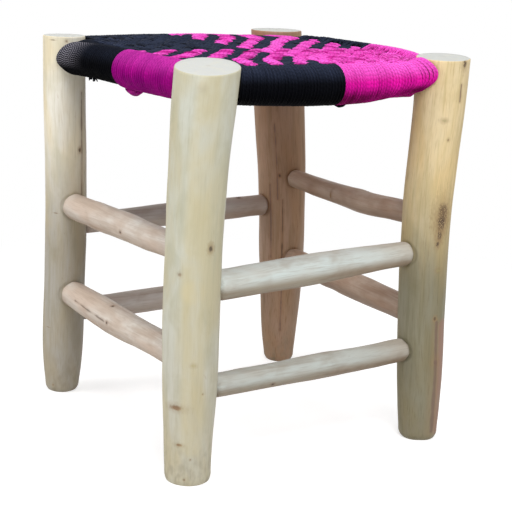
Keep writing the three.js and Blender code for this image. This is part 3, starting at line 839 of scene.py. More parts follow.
def build_post(name, sizes, materials, seed):
    """One peeled post, hewn and marked, with its sawn top and its rounded foot."""
    shape, rim = post_shape(name), sizes.rim
    top = shape.top_point.z
    columns = int(FULL_TURN * shape.rows[:, 2].mean() / sizes.grid)
    turns = FULL_TURN * np.arange(columns) / columns
    height, angle = np.meshgrid(post_heights(top, sizes), turns, indexing="ij")
    around, found = angle / FULL_TURN, shape.at(height)
    facets = patchy(around + 0.05 * np.sin(height * 9), height, 9, 130 * MM, seed)
    lumps = patchy(around, height, 5, 50 * MM, seed + 1)
    ripple = patchy(around, height, 16, 28 * MM, seed + 2)
    radius = found[..., 2] + sizes.facet * (facets * 1.1 + lumps * 0.55 + ripple * 0.28)
    radial = np.stack([np.cos(angle), np.sin(angle)], -1)
    place = np.concatenate([height[..., None], radial * found[..., 2:3]], -1)
    radius += mark_relief(place, post_mark_places(name))
    inset = np.clip(rim - np.minimum(height, top - height), 0, rim)
    radius -= rim - np.sqrt(np.clip(rim**2 - inset**2, 0, None))
    points = np.concatenate([found[..., :2] + radial * radius[..., None], height[..., None]], -1)
    tilt = shape.top_height(points[..., 0], points[..., 1]) - top
    points[..., 2] += tilt * (height / top) ** 14
    sink_entries(points, radial, entries_at(name), sizes)
    spots, places = [points.reshape(-1, 3)], [place.reshape(-1, 3)]
    skin = grid_faces(len(points), columns)
    caps = close_end(points, place, spots, places, 0, False)
    caps += close_end(points, place, spots, places, len(points) - 1, True)
    return add_piece(name.replace("leg", "post"), np.concatenate(spots), skin + caps, materials,
                     [name], {"place": np.concatenate(places)},
                     [0] * len(skin) + [1] * len(caps))


class STOOL_OT_posts(Operator):
    """Build the four peeled posts"""
    bl_idname = "stool.posts"
    bl_label = "Posts"

    def execute(self, context):
        sizes, colours = context.scene.stool_wood, context.scene.stool_colours
        base = (colours.post_pale, colours.post_warm, colours.post_shade, POST_GRAIN, POST_WEAR)
        for seed, name in enumerate(POSTS):
            gain, low_tint, high_tint, change, streaks = POST_LOOKS[name]
            tones = [dyed(tone, gain) for tone in base]
            skin = wood(name + "_wood", tones, post_mark_places(name), streaks, low_tint, high_tint,
                        change, DOWN_POST)
            ends = end_grain(name + "_end", tuple(colours.end_pale), END_RING, END_HEART)
            build_post(name, sizes, [skin, ends], 11 + seed * 7)
        return {"FINISHED"}


# Rungs and rails.

# A rung's look: gain on the set colours, and the tints of its underside and its top: painted shade under
# the rung and painted sky light on its top.
RUNG_LOOKS = {
    "front": ((0.98, 1.02, 1.02), (0.62, 0.53, 0.44), (1.08, 1.17, 1.24)),
    "rung_front_lower": ((0.84, 0.85, 0.82), (0.62, 0.53, 0.44), (1.04, 1.12, 1.2)),
    "left": ((1.06, 1.03, 1.03), (0.8, 0.74, 0.68), (1.12, 1.12, 1.12)),
    "right": ((0.72, 0.58, 0.5), (0.8, 0.75, 0.7), (1.1, 1.1, 1.1)),
    "back": ((0.86, 0.8, 0.8), (0.85, 0.78, 0.72), (1.1, 1.12, 1.14)),
}
RUNG_GRAIN, RUNG_WEAR = srgb(146, 126, 108), srgb(140, 110, 84)
RUNG_STREAKS, RUNG_LIFT, RUNG_CHANGE = 0.35, 1.2, (-8 * MM, 4 * MM)
RUNG_COLUMNS, RUNG_FLATS, RUNG_STEP = 52, 7, 1.9 * MM
NOSE, NOSE_RINGS, NOSE_SHARE, PEG_SHARE = 4 * MM, 7, 0.85, 0.8

# The rails are painted shade: dark, so that they read as the shadow in the gaps between the cords.
RAIL_PAINTED_SHADE_DARK, RAIL_PAINTED_SHADE_PALE = srgb(50, 40, 32), srgb(70, 56, 44)
RAIL_COLUMNS, RAIL_BODY, RAIL_LEAST = 24, 11.5 * MM, 10.5 * MM


def rung_body(name):
    """Centres and radii down a rung's body, at full thickness up to the posts' faces."""
    centres, radii = stick_rings(name)
    first, last = np.nonzero(radii > RUNG_TENON_MOST)[0][[0, -1]]
    centres, radii = centres[first - 1:last + 2], radii[first - 1:last + 2].copy()
    radii[:2], radii[-2:] = radii[2], radii[-3]
    return centres, radii


def rung_line(name, sizes):
    """A rung's middle line and girth from peg to peg, and the run along it."""
    centres, radii = rung_body(name)
    tips, pegs = stick_rings(name)
    run = np.r_[0, np.cumsum(np.linalg.norm(np.diff(centres, axis=0), axis=1))]
    length, nose = run[-1], sizes.hole_depth + NOSE
    beyond = np.linspace(0, nose, NOSE_RINGS)
    down = np.r_[-beyond[:0:-1], np.arange(0, length, RUNG_STEP), length + beyond]
    before, past = np.maximum(-down, 0), np.maximum(down - length, 0)
    middle = np.stack([np.interp(down, run, c) for c in centres.T], -1)
    middle += before[:, None] * unit(centres[0] - centres[1])
    middle += past[:, None] * unit(centres[-1] - centres[-2])
    middle = soften(middle, 14 * MM / RUNG_STEP)
    girth = soften(np.interp(down, run, radii), 16 * MM / RUNG_STEP)
    girth *= np.sqrt(np.clip(1 - ((before + past) / nose * NOSE_SHARE) ** 2, 0, 1))
    peg = pegs[1] * PEG_SHARE
    return (np.r_[tips[:1], middle, tips[-1:]], np.r_[peg, girth, peg],
            np.r_[-nose * 2, down, length + nose * 2])


def rung_mark_places(marks, surface, place):
    """A rung's marks in its own coordinates, from their points on the stool."""
    def nearest(point):
        """The place of the surface's nearest point."""
        off = np.linalg.norm(surface - np.array(point) * MM, axis=-1)
        return tuple(place[np.unravel_index(off.argmin(), off.shape)])

    return [(kind, nearest(spot), size * MM, *(nearest(point) for point in end))
            for kind, spot, size, *end in marks]


def build_rung(name, sizes, finish, seed):
    """One hewn rung: faceted, full to the posts, with rounded noses and its pegs."""
    middle, girth, down = rung_line(name, sizes)
    tangent = unit(np.gradient(middle, axis=0))
    side = unit(np.cross(tangent, (0, 0, 1.0)))
    up = np.cross(side, tangent)
    turn = FULL_TURN * np.arange(RUNG_COLUMNS) / RUNG_COLUMNS
    run, angle = np.meshgrid(down, turn, indexing="ij")
    around = angle / FULL_TURN
    facing = np.abs(np.mod(around * RUNG_FLATS + 0.35 * np.sin(run * 14 + seed), 1) - 0.5) * 2
    flats = (facing**2 - 0.4) * 0.9
    bulges = patchy(around, run + 50 * MM, 6, 60 * MM, seed)
    ripple = patchy(around, run + 50 * MM, 9, 22 * MM, seed + 3)
    radial = side[:, None] * np.cos(turn)[None, :, None] + up[:, None] * np.sin(turn)[None, :, None]
    thick = np.broadcast_to(girth[:, None], run.shape)
    place = np.stack([run, thick * np.cos(angle), thick * np.sin(angle)], -1)
    surface = middle[:, None] + radial * thick[..., None]
    marks = rung_mark_places(RUNG_MARKS.get(name, ()), surface, place)
    radius = thick + sizes.facet * (flats + 1.3 * bulges + 0.7 * ripple) + mark_relief(place, marks)
    points = middle[:, None] + radial * radius[..., None]
    faces = grid_faces(len(down), RUNG_COLUMNS) + end_faces(len(down), RUNG_COLUMNS)
    return add_piece(name.replace("rung", "stretcher"), points.reshape(-1, 3),
                     [face[::-1] for face in faces], [finish(marks)], [name],
                     {"place": place.reshape(-1, 3)})


class STOOL_OT_rungs(Operator):
    """Build the eight hewn rungs"""
    bl_idname = "stool.rungs"
    bl_label = "Rungs"

    def execute(self, context):
        sizes, colours = context.scene.stool_wood, context.scene.stool_colours
        base = (colours.rung_pale, colours.rung_warm, colours.rung_shade, RUNG_GRAIN, RUNG_WEAR)
        for seed, name in enumerate(RUNGS):
            gain, under, over = RUNG_LOOKS.get(name, RUNG_LOOKS[side_of(name)])
            tones = [dyed(tone, gain) for tone in base]

            def finish(marks):
                """This rung's wood with its marks."""
                return wood(name + "_wood", tones, marks, RUNG_STREAKS, under, over, RUNG_CHANGE,
                            UP_RUNG, RUNG_LIFT)

            build_rung(name, sizes, finish, 101 + seed * 5)
        return {"FINISHED"}


class STOOL_OT_rails(Operator):
    """Build the four seat rails under the cord"""
    bl_idname = "stool.rails"
    bl_label = "Rails"

    def execute(self, context):
        material = self.rail_painted_shade()
        turn = FULL_TURN * np.arange(RAIL_COLUMNS) / RAIL_COLUMNS
        for name in RAILS:
            centres, radii = stick_rings(name)
            along = int(np.argmax(np.ptp(centres, axis=0)))
            thinner = np.maximum(radii - context.scene.stool_wood.rail_ease, RAIL_LEAST)
            radii = np.where(radii > RAIL_BODY, thinner, radii)
            ring = np.zeros((RAIL_COLUMNS, 3))
            ring[:, 1 - along], ring[:, 2] = np.cos(turn), np.sin(turn)
            points = centres[:, None] + ring[None] * radii[:, None, None]
            faces = grid_faces(len(centres), RAIL_COLUMNS) + end_faces(len(centres), RAIL_COLUMNS)
            if along == 0:
                faces = [face[::-1] for face in faces]
            add_piece(name.replace("rail", "seat_stick"), points.reshape(-1, 3), faces, [material],
                      [name])
        return {"FINISHED"}

    def rail_painted_shade(self):
        """Painted shade: dark wood that hardly shows between the cords and reads as the shadow in their
        gaps.
        """
        shader = Shader("rail_painted_shade")
        grain = shader.noise(shader.node("ShaderNodeTexCoord", out="Object"), 60.0, 3.0, 0.6, 0.5)
        colour = shader.mix(RAIL_PAINTED_SHADE_DARK, RAIL_PAINTED_SHADE_PALE, grain.between(0.35, 0.65))
        rough = grain.between(0.3, 0.7, 0.6, 0.75)
        return shader.finish(Base_Color=colour, Roughness=rough, Normal=shader.bump(grain, WOOD_RELIEF))


# Cord: four rolls, a twill between them, and the tied ends.


def slow_wave(random, length, count, amount, shortest=30 * MM):
    """A wandering value along a run, from a few waves with random starts."""
    total = np.zeros_like(length)
    for _ in range(count):
        wave = random.uniform(shortest, shortest * 5)
        total += amount / count**0.5 * np.sin(FULL_TURN * length / wave + random.uniform(0, FULL_TURN))
    return total


# The CAD's bands of cord: their gap to the rail, their thickness and the sides of their round.
BAND_GAP, BAND_THICK, BAND_SIDES = 0.3 * MM, 2.4 * MM, 12
ROLL_DEGREE = 4
# The turns right at a roll's ends: how much smaller they are, and over what length.
END_DROP, END_DROP_REACH = 0.8 * MM, 5 * MM
# How much of the flare the turns' inner side takes, and how far a turn may be pushed back.
FLARE_INSIDE, PUSHED_BACK = 0.4, 2 * MM


class Roll:
    """A rail's barrel as the cord sees it, and the two posts that its ends meet."""

    def __init__(self, name, sizes):
        centres, radii = stick_rings(name)
        barrel = radii > RAIL_TENON_MOST
        centres, radii = centres[barrel], radii[barrel]
        self.sizes = sizes
        self.along = int(np.argmax(np.ptp(centres, axis=0)))
        place, across = centres[:, self.along], centres[:, 1 - self.along]
        self.low, self.high = place[0], place[-1]
        self.outward = np.sign(across.mean())
        outside = (radii + BAND_GAP) / math.cos(math.pi / BAND_SIDES) + BAND_THICK - sizes.cord / 2
        rows = (across, centres[:, 2], outside)
        self.curves = [np.polyfit(place, row, ROLL_DEGREE) for row in rows]
        self.posts = [post_shape(post) for post in SIDE_POSTS[side_of(name)]]

    def at(self, place):
        """Across coordinate, height and the cord's radius at places along the rail."""
        place = np.clip(place, self.low, self.high)
        return [np.polyval(curve, place) for curve in self.curves]

    def end_drop(self, place):
        """How much smaller the turns are right at the roll's ends."""
        from_end = min(place - self.low, self.high - place)
        return END_DROP * (1 - float(ease(0, END_DROP_REACH, from_end)))

    def flare(self, place, across, height):
        """How far the turns near an end slide towards the post, so that they lie against it."""
        sizes, moved = self.sizes, np.zeros_like(across)
        middle, _, reach = self.at(place)
        outer = np.clip((across - middle) * self.outward / reach, -1, 1)
        most = (FLARE_INSIDE + (1 - FLARE_INSIDE) * ease(-0.2, 0.8, outer)) * sizes.flare
        for end, post, way in ((self.low, self.posts[0], 1), (self.high, self.posts[1], -1)):
            found = post.at(np.minimum(height, post.top_point.z))
            gap = found[..., 2] + sizes.cord * 0.5
            off = across - found[..., 1 - self.along]
            surface = found[..., self.along] + way * np.sqrt(np.clip(gap**2 - off**2, 0, None))
            slide = np.clip((end - surface) * way, -PUSHED_BACK, most)
            weight = np.clip(1 - (place - end) * way / sizes.flare_reach, 0, 1)
            moved -= way * slide * weight
        return moved


# Where the first rolls lie, and how far a warp and a weft run from there.
ROLLS_FROM, WARP_LENGTH, WEFT_LENGTH = -158 * MM, 318 * MM, 309 * MM
# Share of a cord left free at a roll's end, and the shares of the way between which a family
# spreads from its rolls to its room in the weave.
END_MARGIN, SPREAD_FROM, SPREAD_FULL = 0.35, 0.04, 0.2


class Family:
    """The warps or the wefts: their two rolls, how they spread between them and how they look.

    Its tones are those of the near roll, the weave and the far roll; they differ as painted light and
    shade, the left roll kept darkest as if it lay in shade. Lit is the facing, down to up, from which
    a roll's turns come out of painted shade, and at which they are out. The last two say how much the
    single turns differ on a roll, in tone and in light.
    """

    def __init__(self, name, rolls, sizes):
        self.name, self.sizes, self.warps = name, sizes, name == "warp"
        if self.warps:
            self.near, self.far = rolls["rail_front"], rolls["rail_back"]
            self.edges = sizes.warp_edge_front, sizes.warp_edge_back
            self.wide = -sizes.room_left, sizes.room_right
            self.bundles, self.first = sizes.warp_bundles, sizes.warp_black
            self.colours, self.length = ("black", "pink"), WARP_LENGTH
            self.tones, self.lit = (0.85, 0.8, 0.6), (-0.66, 0.05)
            self.own_on_roll, self.swing_on_roll = 0.6, 1.4
        else:
            self.near, self.far = rolls["rail_left"], rolls["rail_right"]
            self.edges = sizes.weft_edge_left, sizes.weft_edge_right
            self.wide = -sizes.room_front, sizes.room_back
            self.bundles, self.first = sizes.weft_bundles, sizes.weft_pink
            self.colours, self.length = ("pink", "black"), WEFT_LENGTH
            self.tones, self.lit = (0.2, 0.8, 0.6), (-0.5, 0.8)
            self.own_on_roll, self.swing_on_roll = 0.38, 0.9
        self.first_share = self.first / self.bundles
        self.margin = END_MARGIN * sizes.cord / (self.near.high - self.near.low)

    def lines(self, reach, opened):
        """Where the family begins, changes colour and ends, at a share of the way along it."""
        near, far, wide = self.near, self.far, self.wide
        leaving = ease(SPREAD_FROM, SPREAD_FULL, reach)
        open_share = leaving * ease(1 - SPREAD_FROM, 1 - SPREAD_FULL, reach) * opened
        near_edge = near.low + (near.high - near.low) * self.edges[0]
        far_edge = far.low + (far.high - far.low) * self.edges[1]
        low = near.low + (far.low - near.low) * reach
        high = near.high + (far.high - near.high) * reach
        edge = near_edge + (far_edge - near_edge) * reach
        return low + (wide[0] - low) * open_share, edge, high + (wide[1] - high) * open_share

    def counted(self, bundle, place):
        """Share of the count at a place in a bundle."""
        return self.margin + (bundle + place) / self.bundles * (1 - 2 * self.margin)

    def spread(self, counted, reach, opened=1):
        """Where a cord lies across the family, from its share of the count."""
        first, (low, edge, high) = self.first_share, self.lines(reach, opened)
        before = low + (edge - low) * counted / first
        return np.where(counted < first, before, edge + (high - edge) * ((counted - first) / (1 - first)))

    def bundles_before(self, place, along, opened):
        """How many bundles lie before a place across the family, at a point along it."""
        reach = np.clip((along - ROLLS_FROM) / self.length, 0, 1)
        first, (low, edge, high) = self.first_share, self.lines(reach, opened)
        before = (place - low) / (edge - low) * first
        past = first + (place - edge) / (high - edge) * (1 - first)
        return np.where(place < edge, before, past) * self.bundles

    def fit(self, places):
        """How a turn's round is heaped up and tucked in on the near roll, and raised on the far."""
        sizes, near = self.sizes, places[0]
        if not self.warps:
            return 0.0, sizes.tuck * float(ease(-6 * MM, 4 * MM, near)), 0.0
        heap = sizes.heap * float(ease(20 * MM, 0, self.near.high - near))
        tuck = sizes.tuck_right * float(ease(40 * MM, 118 * MM, near))
        return heap, tuck, float(back_rise(places[1]))


# The back roll: how much higher it lies than an even one, and how that goes down to each side.
BACK_RISE, FALL_RIGHT, FALL_LEFT = 0.9 * MM, 2.6 * MM, 1.0 * MM
RIGHT_FROM, RIGHT_FULL, LEFT_FROM, LEFT_FULL = 10 * MM, 100 * MM, -60 * MM, -130 * MM


def back_rise(x):
    """How much higher the back roll lies than an even one, and the weave before it."""
    right, left = ease(RIGHT_FROM, RIGHT_FULL, x), ease(LEFT_FROM, LEFT_FULL, x)
    return BACK_RISE - FALL_RIGHT * right - FALL_LEFT * left


# Half the weave's depth, and how far it rises on to the front roll, and where.
FIELD_HALF = 135 * MM
FRONT_CREST, CREST_FROM, CREST_FULL = 1.4 * MM, -142 * MM, -157 * MM
TWILL_REPEAT, TWILL_SHARPNESS = 4, 2.0


class Seat:
    """The twill: its two families of cords, and the levels at which they cross."""

    def __init__(self, sizes):
        rolls = {name: Roll(name, sizes) for name in RAILS}
        self.sizes = sizes
        self.warps, self.wefts = (Family(name, rolls, sizes) for name in ("warp", "weft"))

    def level(self, x, y, upper):
        """Height at which the two families meet, in the upper layer or the one below."""
        sizes = self.sizes
        share = np.clip((y + FIELD_HALF) / (2 * FIELD_HALF), 0, 1)
        front, back, crest = sizes.under_front, sizes.under_back, 0
        if upper:
            front, back = sizes.field_front, sizes.field_back
            crest = FRONT_CREST * ease(CREST_FROM, CREST_FULL, y) + back_rise(x) * 0.6 * share**2
        return front + (back - front) * share - sizes.field_sag * 4 * share * (1 - share) + crest

    def over(self, warp, weft):
        """1 where a warp lies over a weft, -1 where under; both are counted in bundles."""
        wave = np.cos(FULL_TURN * (warp - weft + self.sizes.phase - 0.5) / TWILL_REPEAT)
        return np.tanh(TWILL_SHARPNESS * wave) / math.tanh(TWILL_SHARPNESS)


# How uneven the hand is: a turn's round, where it dives, how it wanders and its shade.
LUMP, LATE, OWN_TONE = 0.07 * MM, 0.24, 0.14
WAVES, WANDER_ACROSS, WANDER_UP = 3, 0.14 * MM, 0.1 * MM
# How far round the twist each bundle starts, and how full the room of a cord is at the least.
TWIST_START, ROOM_FILLED = 0.37, 1.1
# Share of a run over which a turn comes from the roll to the weave's level, the bundles before and
# after the first crossing over which it starts to weave, and where on a roll it is loose.
TO_LEVEL, BEFORE_FIRST, AFTER_FIRST = 0.045, 0.8, 0.9
LOOSE_FROM, LOOSE_FULL = 0.5, 0.97

# The four parts of a turn: round the near roll, over the top, round the far roll, back below.
NEAR_ROLL, UPPER_RUN, FAR_ROLL, LOWER_RUN = range(4)
ARC_POINTS, RUN_POINTS, FADE_POINTS = 19, 80, 8
FADE = np.linspace(1, 0, FADE_POINTS + 1)[1:]


def turn_outline(family, places, lump):
    """One turn round two rolls: way, height, share of the way along, facing and part of the turn."""
    near, far, (heap, tuck, rise) = family.near, family.far, family.fit(places)
    a_near, z_near, r_near = near.at(places[0])
    a_far, z_far, r_far = far.at(places[1])
    r_near = r_near + lump - near.end_drop(places[0])
    r_far = r_far + lump + rise - far.end_drop(places[1])
    arc = np.linspace(math.pi * 1.5, math.pi * 0.5, ARC_POINTS)
    back = np.linspace(math.pi * 0.5, -math.pi * 0.5, ARC_POINTS)
    run = np.linspace(0, 1, RUN_POINTS + 2)[1:-1]
    heaped = r_near + heap * ease(-0.3, 0.6, np.sin(arc)) - tuck * ease(0.1, -0.8, np.sin(arc))
    across = a_near + (a_far - a_near) * run
    upper = (z_near + heaped[-1]) * (1 - run) + (z_far + r_far) * run
    lower = (z_near - heaped[0]) * (1 - run) + (z_far - r_far) * run
    flat, round_one = np.ones(RUN_POINTS), np.ones(ARC_POINTS)
    parts = (
        (a_near + heaped * np.cos(arc), z_near + heaped * np.sin(arc), round_one * 0, np.sin(arc)),
        (across, upper, run, flat),
        (a_far + r_far * np.cos(back), z_far + r_far * np.sin(back), round_one, np.sin(back)),
        (across[::-1], lower[::-1], run[::-1], -flat),
    )
    part = np.repeat(range(4), (ARC_POINTS, RUN_POINTS, ARC_POINTS, RUN_POINTS))
    return *(np.concatenate(rows) for rows in zip(*parts)), part


def slide_to_posts(family, lateral, way, height, part):
    """How far a turn slides towards the posts on its rolls, fading out on its runs."""
    flare = np.where(part == NEAR_ROLL, family.near.flare(lateral, way, height), 0)
    flare = flare + np.where(part == FAR_ROLL, family.far.flare(lateral, way, height), 0)
    for run in (UPPER_RUN, LOWER_RUN):
        chosen = np.nonzero(part == run)[0]
        flare[chosen[:FADE_POINTS]] += flare[chosen[0] - 1] * FADE
        flare[chosen[::-1][:FADE_POINTS]] += flare[(chosen[-1] + 1) % len(part)] * FADE
    return flare


# Painted light from above on a colour's cords, a painted highlight: on a run, how much less in the
# weave, what the weave's relief and the bundle's twist add there, and on the rolls.
SKY_LOOKS = {"black": (0.38, 0.16, 0.36, 0.62, 0.78), "pink": (0.5, 0.32, 0.24, 0.34, 0.85)}
# The lower run's tone is painted shade under the seat; the run swing scales each turn's own painted
# highlight on the runs; the pair tone is painted light on the higher cord of each pair and painted shade
# on the lower.
LOWER_TONE, RUN_SWING, PAIR_TONE = 0.2, 2.2, 0.15


def shade_turn(family, colour, share, own, woven, lift, twist, reach, facing, part):
    """Tone with its painted shade, painted light from above, and a painted sheen on black, painted shade
    on pink, along a turn; own is how far the turn's shade is off.
    """
    upper, lower = part == UPPER_RUN, part == LOWER_RUN
    runs, tones = upper | lower, family.tones
    own = own * np.where(runs, 1, family.own_on_roll)
    tone = np.select([part == NEAR_ROLL, upper, part == FAR_ROLL], tones, LOWER_TONE)
    roll_tone = np.where(reach < 0.5, tones[0], tones[2])
    tone = np.where(upper, roll_tone + (tone - roll_tone) * woven, tone)
    # Painted shade: the weave darkens in the hollows of each bundle's twist and where a bundle dips under
    # another, and a roll's turns darken as they face down.
    gap = 0.25 - 0.25 * twist + 0.2 - 0.2 * lift
    tone = tone * np.where(runs, 1 - woven * gap, ease(*family.lit, facing))
    # Painted highlight: light from above on the weave, stronger on its crests and on the top of each
    # bundle's twist, none on the lower run, and on the rolls' upper sides.
    plain, less, relief, winding, crest = SKY_LOOKS[colour]
    lit = plain - less * woven + relief * lift * woven + winding * woven * twist
    sky = np.where(upper, lit, np.where(lower, 0, ease(0.1, 0.8, facing) * crest))
    sheen_and_shade = np.zeros_like(sky)
    # On the wefts' left roll the painted highlight is dimmed as painted shade; the pink there takes a
    # purple painted shade, and the black a grey painted sheen on its upper side towards the back end.
    if not family.warps:
        sky = sky * (0.3 + 0.7 * ease(0, 0.06, reach))
        sheen_and_shade_share = ease(0.76, 0.95, share) * ease(-0.5, 0.1, facing) if colour == "black" else 1.0
        sheen_and_shade = np.where(part == NEAR_ROLL, sheen_and_shade_share, 0)
    sky = np.clip(sky * (1 + np.where(runs, RUN_SWING, family.swing_on_roll) * own), 0, 1)
    return np.stack([np.clip(tone + own, 0, 1), sky, sheen_and_shade], -1)


def wind_turn(seat, family, group, turns, k, random):
    """Path, radius and shade of one turn, woven through the cords that cross it."""
    sizes, colour, (bundle, cord) = seat.sizes, family.colours[group], turns[k]
    other = seat.wefts if family.warps else seat.warps
    neighbours = turns[k], turns[min(k + 1, len(turns) - 1)]
    share, following = (family.counted(b, (c + 0.5) / sizes.cords) for b, c in neighbours)
    side = 1 if cord % 2 else -1
    lump = random.normal(0, LUMP) + sizes.ridge * 0.5 * side
    places = [float(family.spread(np.array(share), reach)) for reach in (0.0, 1.0)]
    way, height, reach, facing, part = turn_outline(family, places, lump)
    upper, lower = part == UPPER_RUN, part == LOWER_RUN
    runs = upper | lower
    held = np.where(lower, share + (following - share) * (1 - reach), share)
    half_way = (family.near.at(places[0])[1] + family.far.at(places[1])[1]) / 2
    opened = np.where(height > half_way, 1.0, 0.0)
    low, change, high = family.lines(reach, opened)
    room_each = (change - low, high - change)[group] / len(turns)
    lateral = family.spread(held, reach, opened)
    centre = family.spread(np.full_like(held, family.counted(bundle, 0.5)), reach, opened)
    crossed = other.bundles_before(way, lateral, opened)
    late = crossed - 0.5 + random.normal(0, LATE)
    lift = seat.over(bundle, late) if family.warps else -seat.over(late, bundle)
    starts, last = ease(-BEFORE_FIRST, AFTER_FIRST, crossed), other.bundles
    woven = starts * ease(last + BEFORE_FIRST, last - AFTER_FIRST, crossed)
    woven = woven * np.where(runs, 1, ease(LOOSE_FROM, LOOSE_FULL, np.abs(facing)))
    x, y = (lateral, way) if family.warps else (way, lateral)
    level = np.where(upper, seat.level(x, y, True), seat.level(x, y, False))
    edge = ease(0, TO_LEVEL, reach) * ease(1, 1 - TO_LEVEL, reach)
    height = np.where(runs, height * (1 - edge) + level * edge, height)
    length = np.r_[0, np.cumsum(np.hypot(np.diff(way), np.diff(height)))]
    turned = FULL_TURN * (cord / sizes.cords + length / sizes.rope_turn + bundle * TWIST_START)
    tight = 1 - sizes.pinch * (1 - lift**2)
    rope_side = (high - low) / family.bundles * sizes.rope_width / 2 * np.cos(turned) * tight
    rope_rise = sizes.rope_height / 2 * np.sin(turned)
    lateral = lateral * (1 - woven) + (centre + rope_side) * woven
    relief = sizes.relief_pink if colour == "pink" else sizes.relief_black
    height = height + woven * (relief * lift + rope_rise)
    flare = slide_to_posts(family, lateral, way, height, part)
    lateral = lateral + flare + slow_wave(random, length, WAVES, WANDER_ACROSS)
    height = height + slow_wave(random, length, WAVES, WANDER_UP) * np.where(runs, 1, 0.4)
    # A turn's own tone is random, plus painted light on the higher cord of each pair and painted shade on
    # the lower.
    own = random.normal(0, OWN_TONE) + PAIR_TONE * side
    shade = shade_turn(family, colour, share, own, woven, lift, np.sin(turned), reach, facing, part)
    path = np.stack((lateral, way, height) if family.warps else (way, lateral, height), -1)
    radius = np.maximum(sizes.cord * (1 + sizes.swell * woven), room_each * ROOM_FILLED) / 2
    return path, radius, shade


def wind(tubes, seat, family, random):
    """Winds one family of cords and adds its two colours' tubes."""
    for group, (start, stop) in enumerate(((0, family.first), (family.first, family.bundles))):
        turns = [(bundle, cord) for bundle in range(start, stop) for cord in range(seat.sizes.cords)]
        made = [wind_turn(seat, family, group, turns, k, random) for k in range(len(turns))]
        path, radius, shade = (np.concatenate(rows) for rows in zip(*made))
        tubes[family.name, family.colours[group]].add(path, int(not family.warps), radius, shade)


# A cord's tone of painted sheen on black and of painted shade on pink, how much its threads show there,
# its roughness and its specular level.
CORD_LOOKS = {
    "black": (srgb(168, 164, 176), 1.0, 0.5, 0.02),
    "pink": (srgb(178, 2, 170), 0.15, 0.45, 0.03),
}


def cord_finishes(colours):
    """The two cords' materials, made once."""
    for colour, look in CORD_LOOKS.items():
        if "wound_" + colour not in bpy.data.materials:
            tones = [tuple(getattr(colours, colour + tone)) for tone in ("_deep", "", "_sky")]
            cord_finish("wound_" + colour, *tones, *look)
    return {colour: bpy.data.materials["wound_" + colour] for colour in CORD_LOOKS}


class STOOL_OT_cords(Operator):
    """Wind the pink and black cord over the rails"""
    bl_idname = "stool.cords"
    bl_label = "Woven cord"

    def execute(self, context):
        sizes, finishes = context.scene.stool_cord, cord_finishes(context.scene.stool_colours)
        random = np.random.default_rng(sizes.seed)
        seat = Seat(sizes)
        tubes = {(family, colour): Tubes() for family in ("warp", "weft") for colour in CORD_LOOKS}
        for family in (seat.warps, seat.wefts):
            wind(tubes, seat, family, random)
        for (family, colour), made in tubes.items():
            made.piece(f"{family}_cord_{colour}", finishes[colour], colour + "_cord",
                       [f"cord_{family}_{colour}"])
        return {"FINISHED"}


def sag(tubes, middle, along, half, drop, strands, radius, sheen_and_shade, random):
    """Cords that hang in one smooth, closed fold under a roll."""
    share = np.linspace(-1, 1, 15)
    for layer in (0.3, 0.65, 1.0):
        for k in range(strands):
            spot = (k + 0.5) / strands * 2 - 1
            path = np.tile(middle, (len(share), 1))
            path[:, along] += half * share * (0.8 + 0.2 * layer)
            path[:, 1 - along] += spot * 3.0 * MM
            hang = drop * layer * (1 - share**2) ** 0.8 * (1 - 0.5 * spot**2)
            path[:, 2] += 2.0 * MM - hang + random.normal(0, 0.08 * MM)
            # Painted shade: the hanging cords take the dark tone of a roll's shaded underside, with as
            # much purple painted shade as given.
            tubes.add(path, 1 - along, radius, np.array([0.1 + random.normal(0, 0.1), 0.02, sheen_and_shade]))


def tuft(tubes, middle, along, drop, strands, radius, random):
    """Short cut ends that stick out in all directions under a roll."""
    share = np.linspace(0, 1, 7)
    for _ in range(strands):
        lean = random.uniform(-1, 1, 2) * (2.6 * MM, 1.8 * MM)
        root = random.uniform(-1, 1, 2) * (1.8 * MM, 1.6 * MM)
        long = drop * random.uniform(0.6, 1.15)
        path = np.tile(middle, (len(share), 1))
        path[:, along] += root[0] + lean[0] * share**1.5
        path[:, 1 - along] += root[1] + lean[1] * share**1.5
        path[:, 2] += 2.5 * MM - long * share
        # The cut ends' tone differs at random, with a little painted light from above.
        shade = np.array([random.uniform(0.1, 0.7), 0.1, 0])
        tubes.add(path, 1 - along, radius * (1.1 - 0.6 * share), shade)


class STOOL_OT_cord_ends(Operator):
    """Tie off the cord's ends under the rolls"""
    bl_idname = "stool.cord_ends"
    bl_label = "Tied cord ends"

    def execute(self, context):
        sizes, finishes = context.scene.stool_cord, cord_finishes(context.scene.stool_colours)
        random, cord = np.random.default_rng(sizes.seed + 1), sizes.cord
        for name, colour in (("knot_left_black", "black"), ("knot_left_pink", "pink"),
                             ("knot_front", "black")):
            low, high = (np.array(corner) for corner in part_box(name))
            middle, along, tubes = (low + high) / 2, int(name != "knot_front"), Tubes()
            if name == "knot_left_black":
                for off in (-6.0 * MM, 6.0 * MM):
                    root = middle + (0, off, 5.6 * MM)
                    tuft(tubes, root, along, 5.4 * MM, 8, cord * 0.5, random)
            elif name == "knot_left_pink":
                sag(tubes, middle, along, 15 * MM, 5.4 * MM, 4, cord * 0.6, 0.8, random)
            else:
                root = middle + (-3 * MM, 0, 0.8 * MM)
                sag(tubes, root, along, 5.5 * MM, 2.6 * MM, 3, cord * 0.45, 0.0, random)
            tubes.piece(name.replace("knot", "tied_end"), finishes[colour], colour + "_cord", [name])
        return {"FINISHED"}


# Stage: floor, lamps and camera.

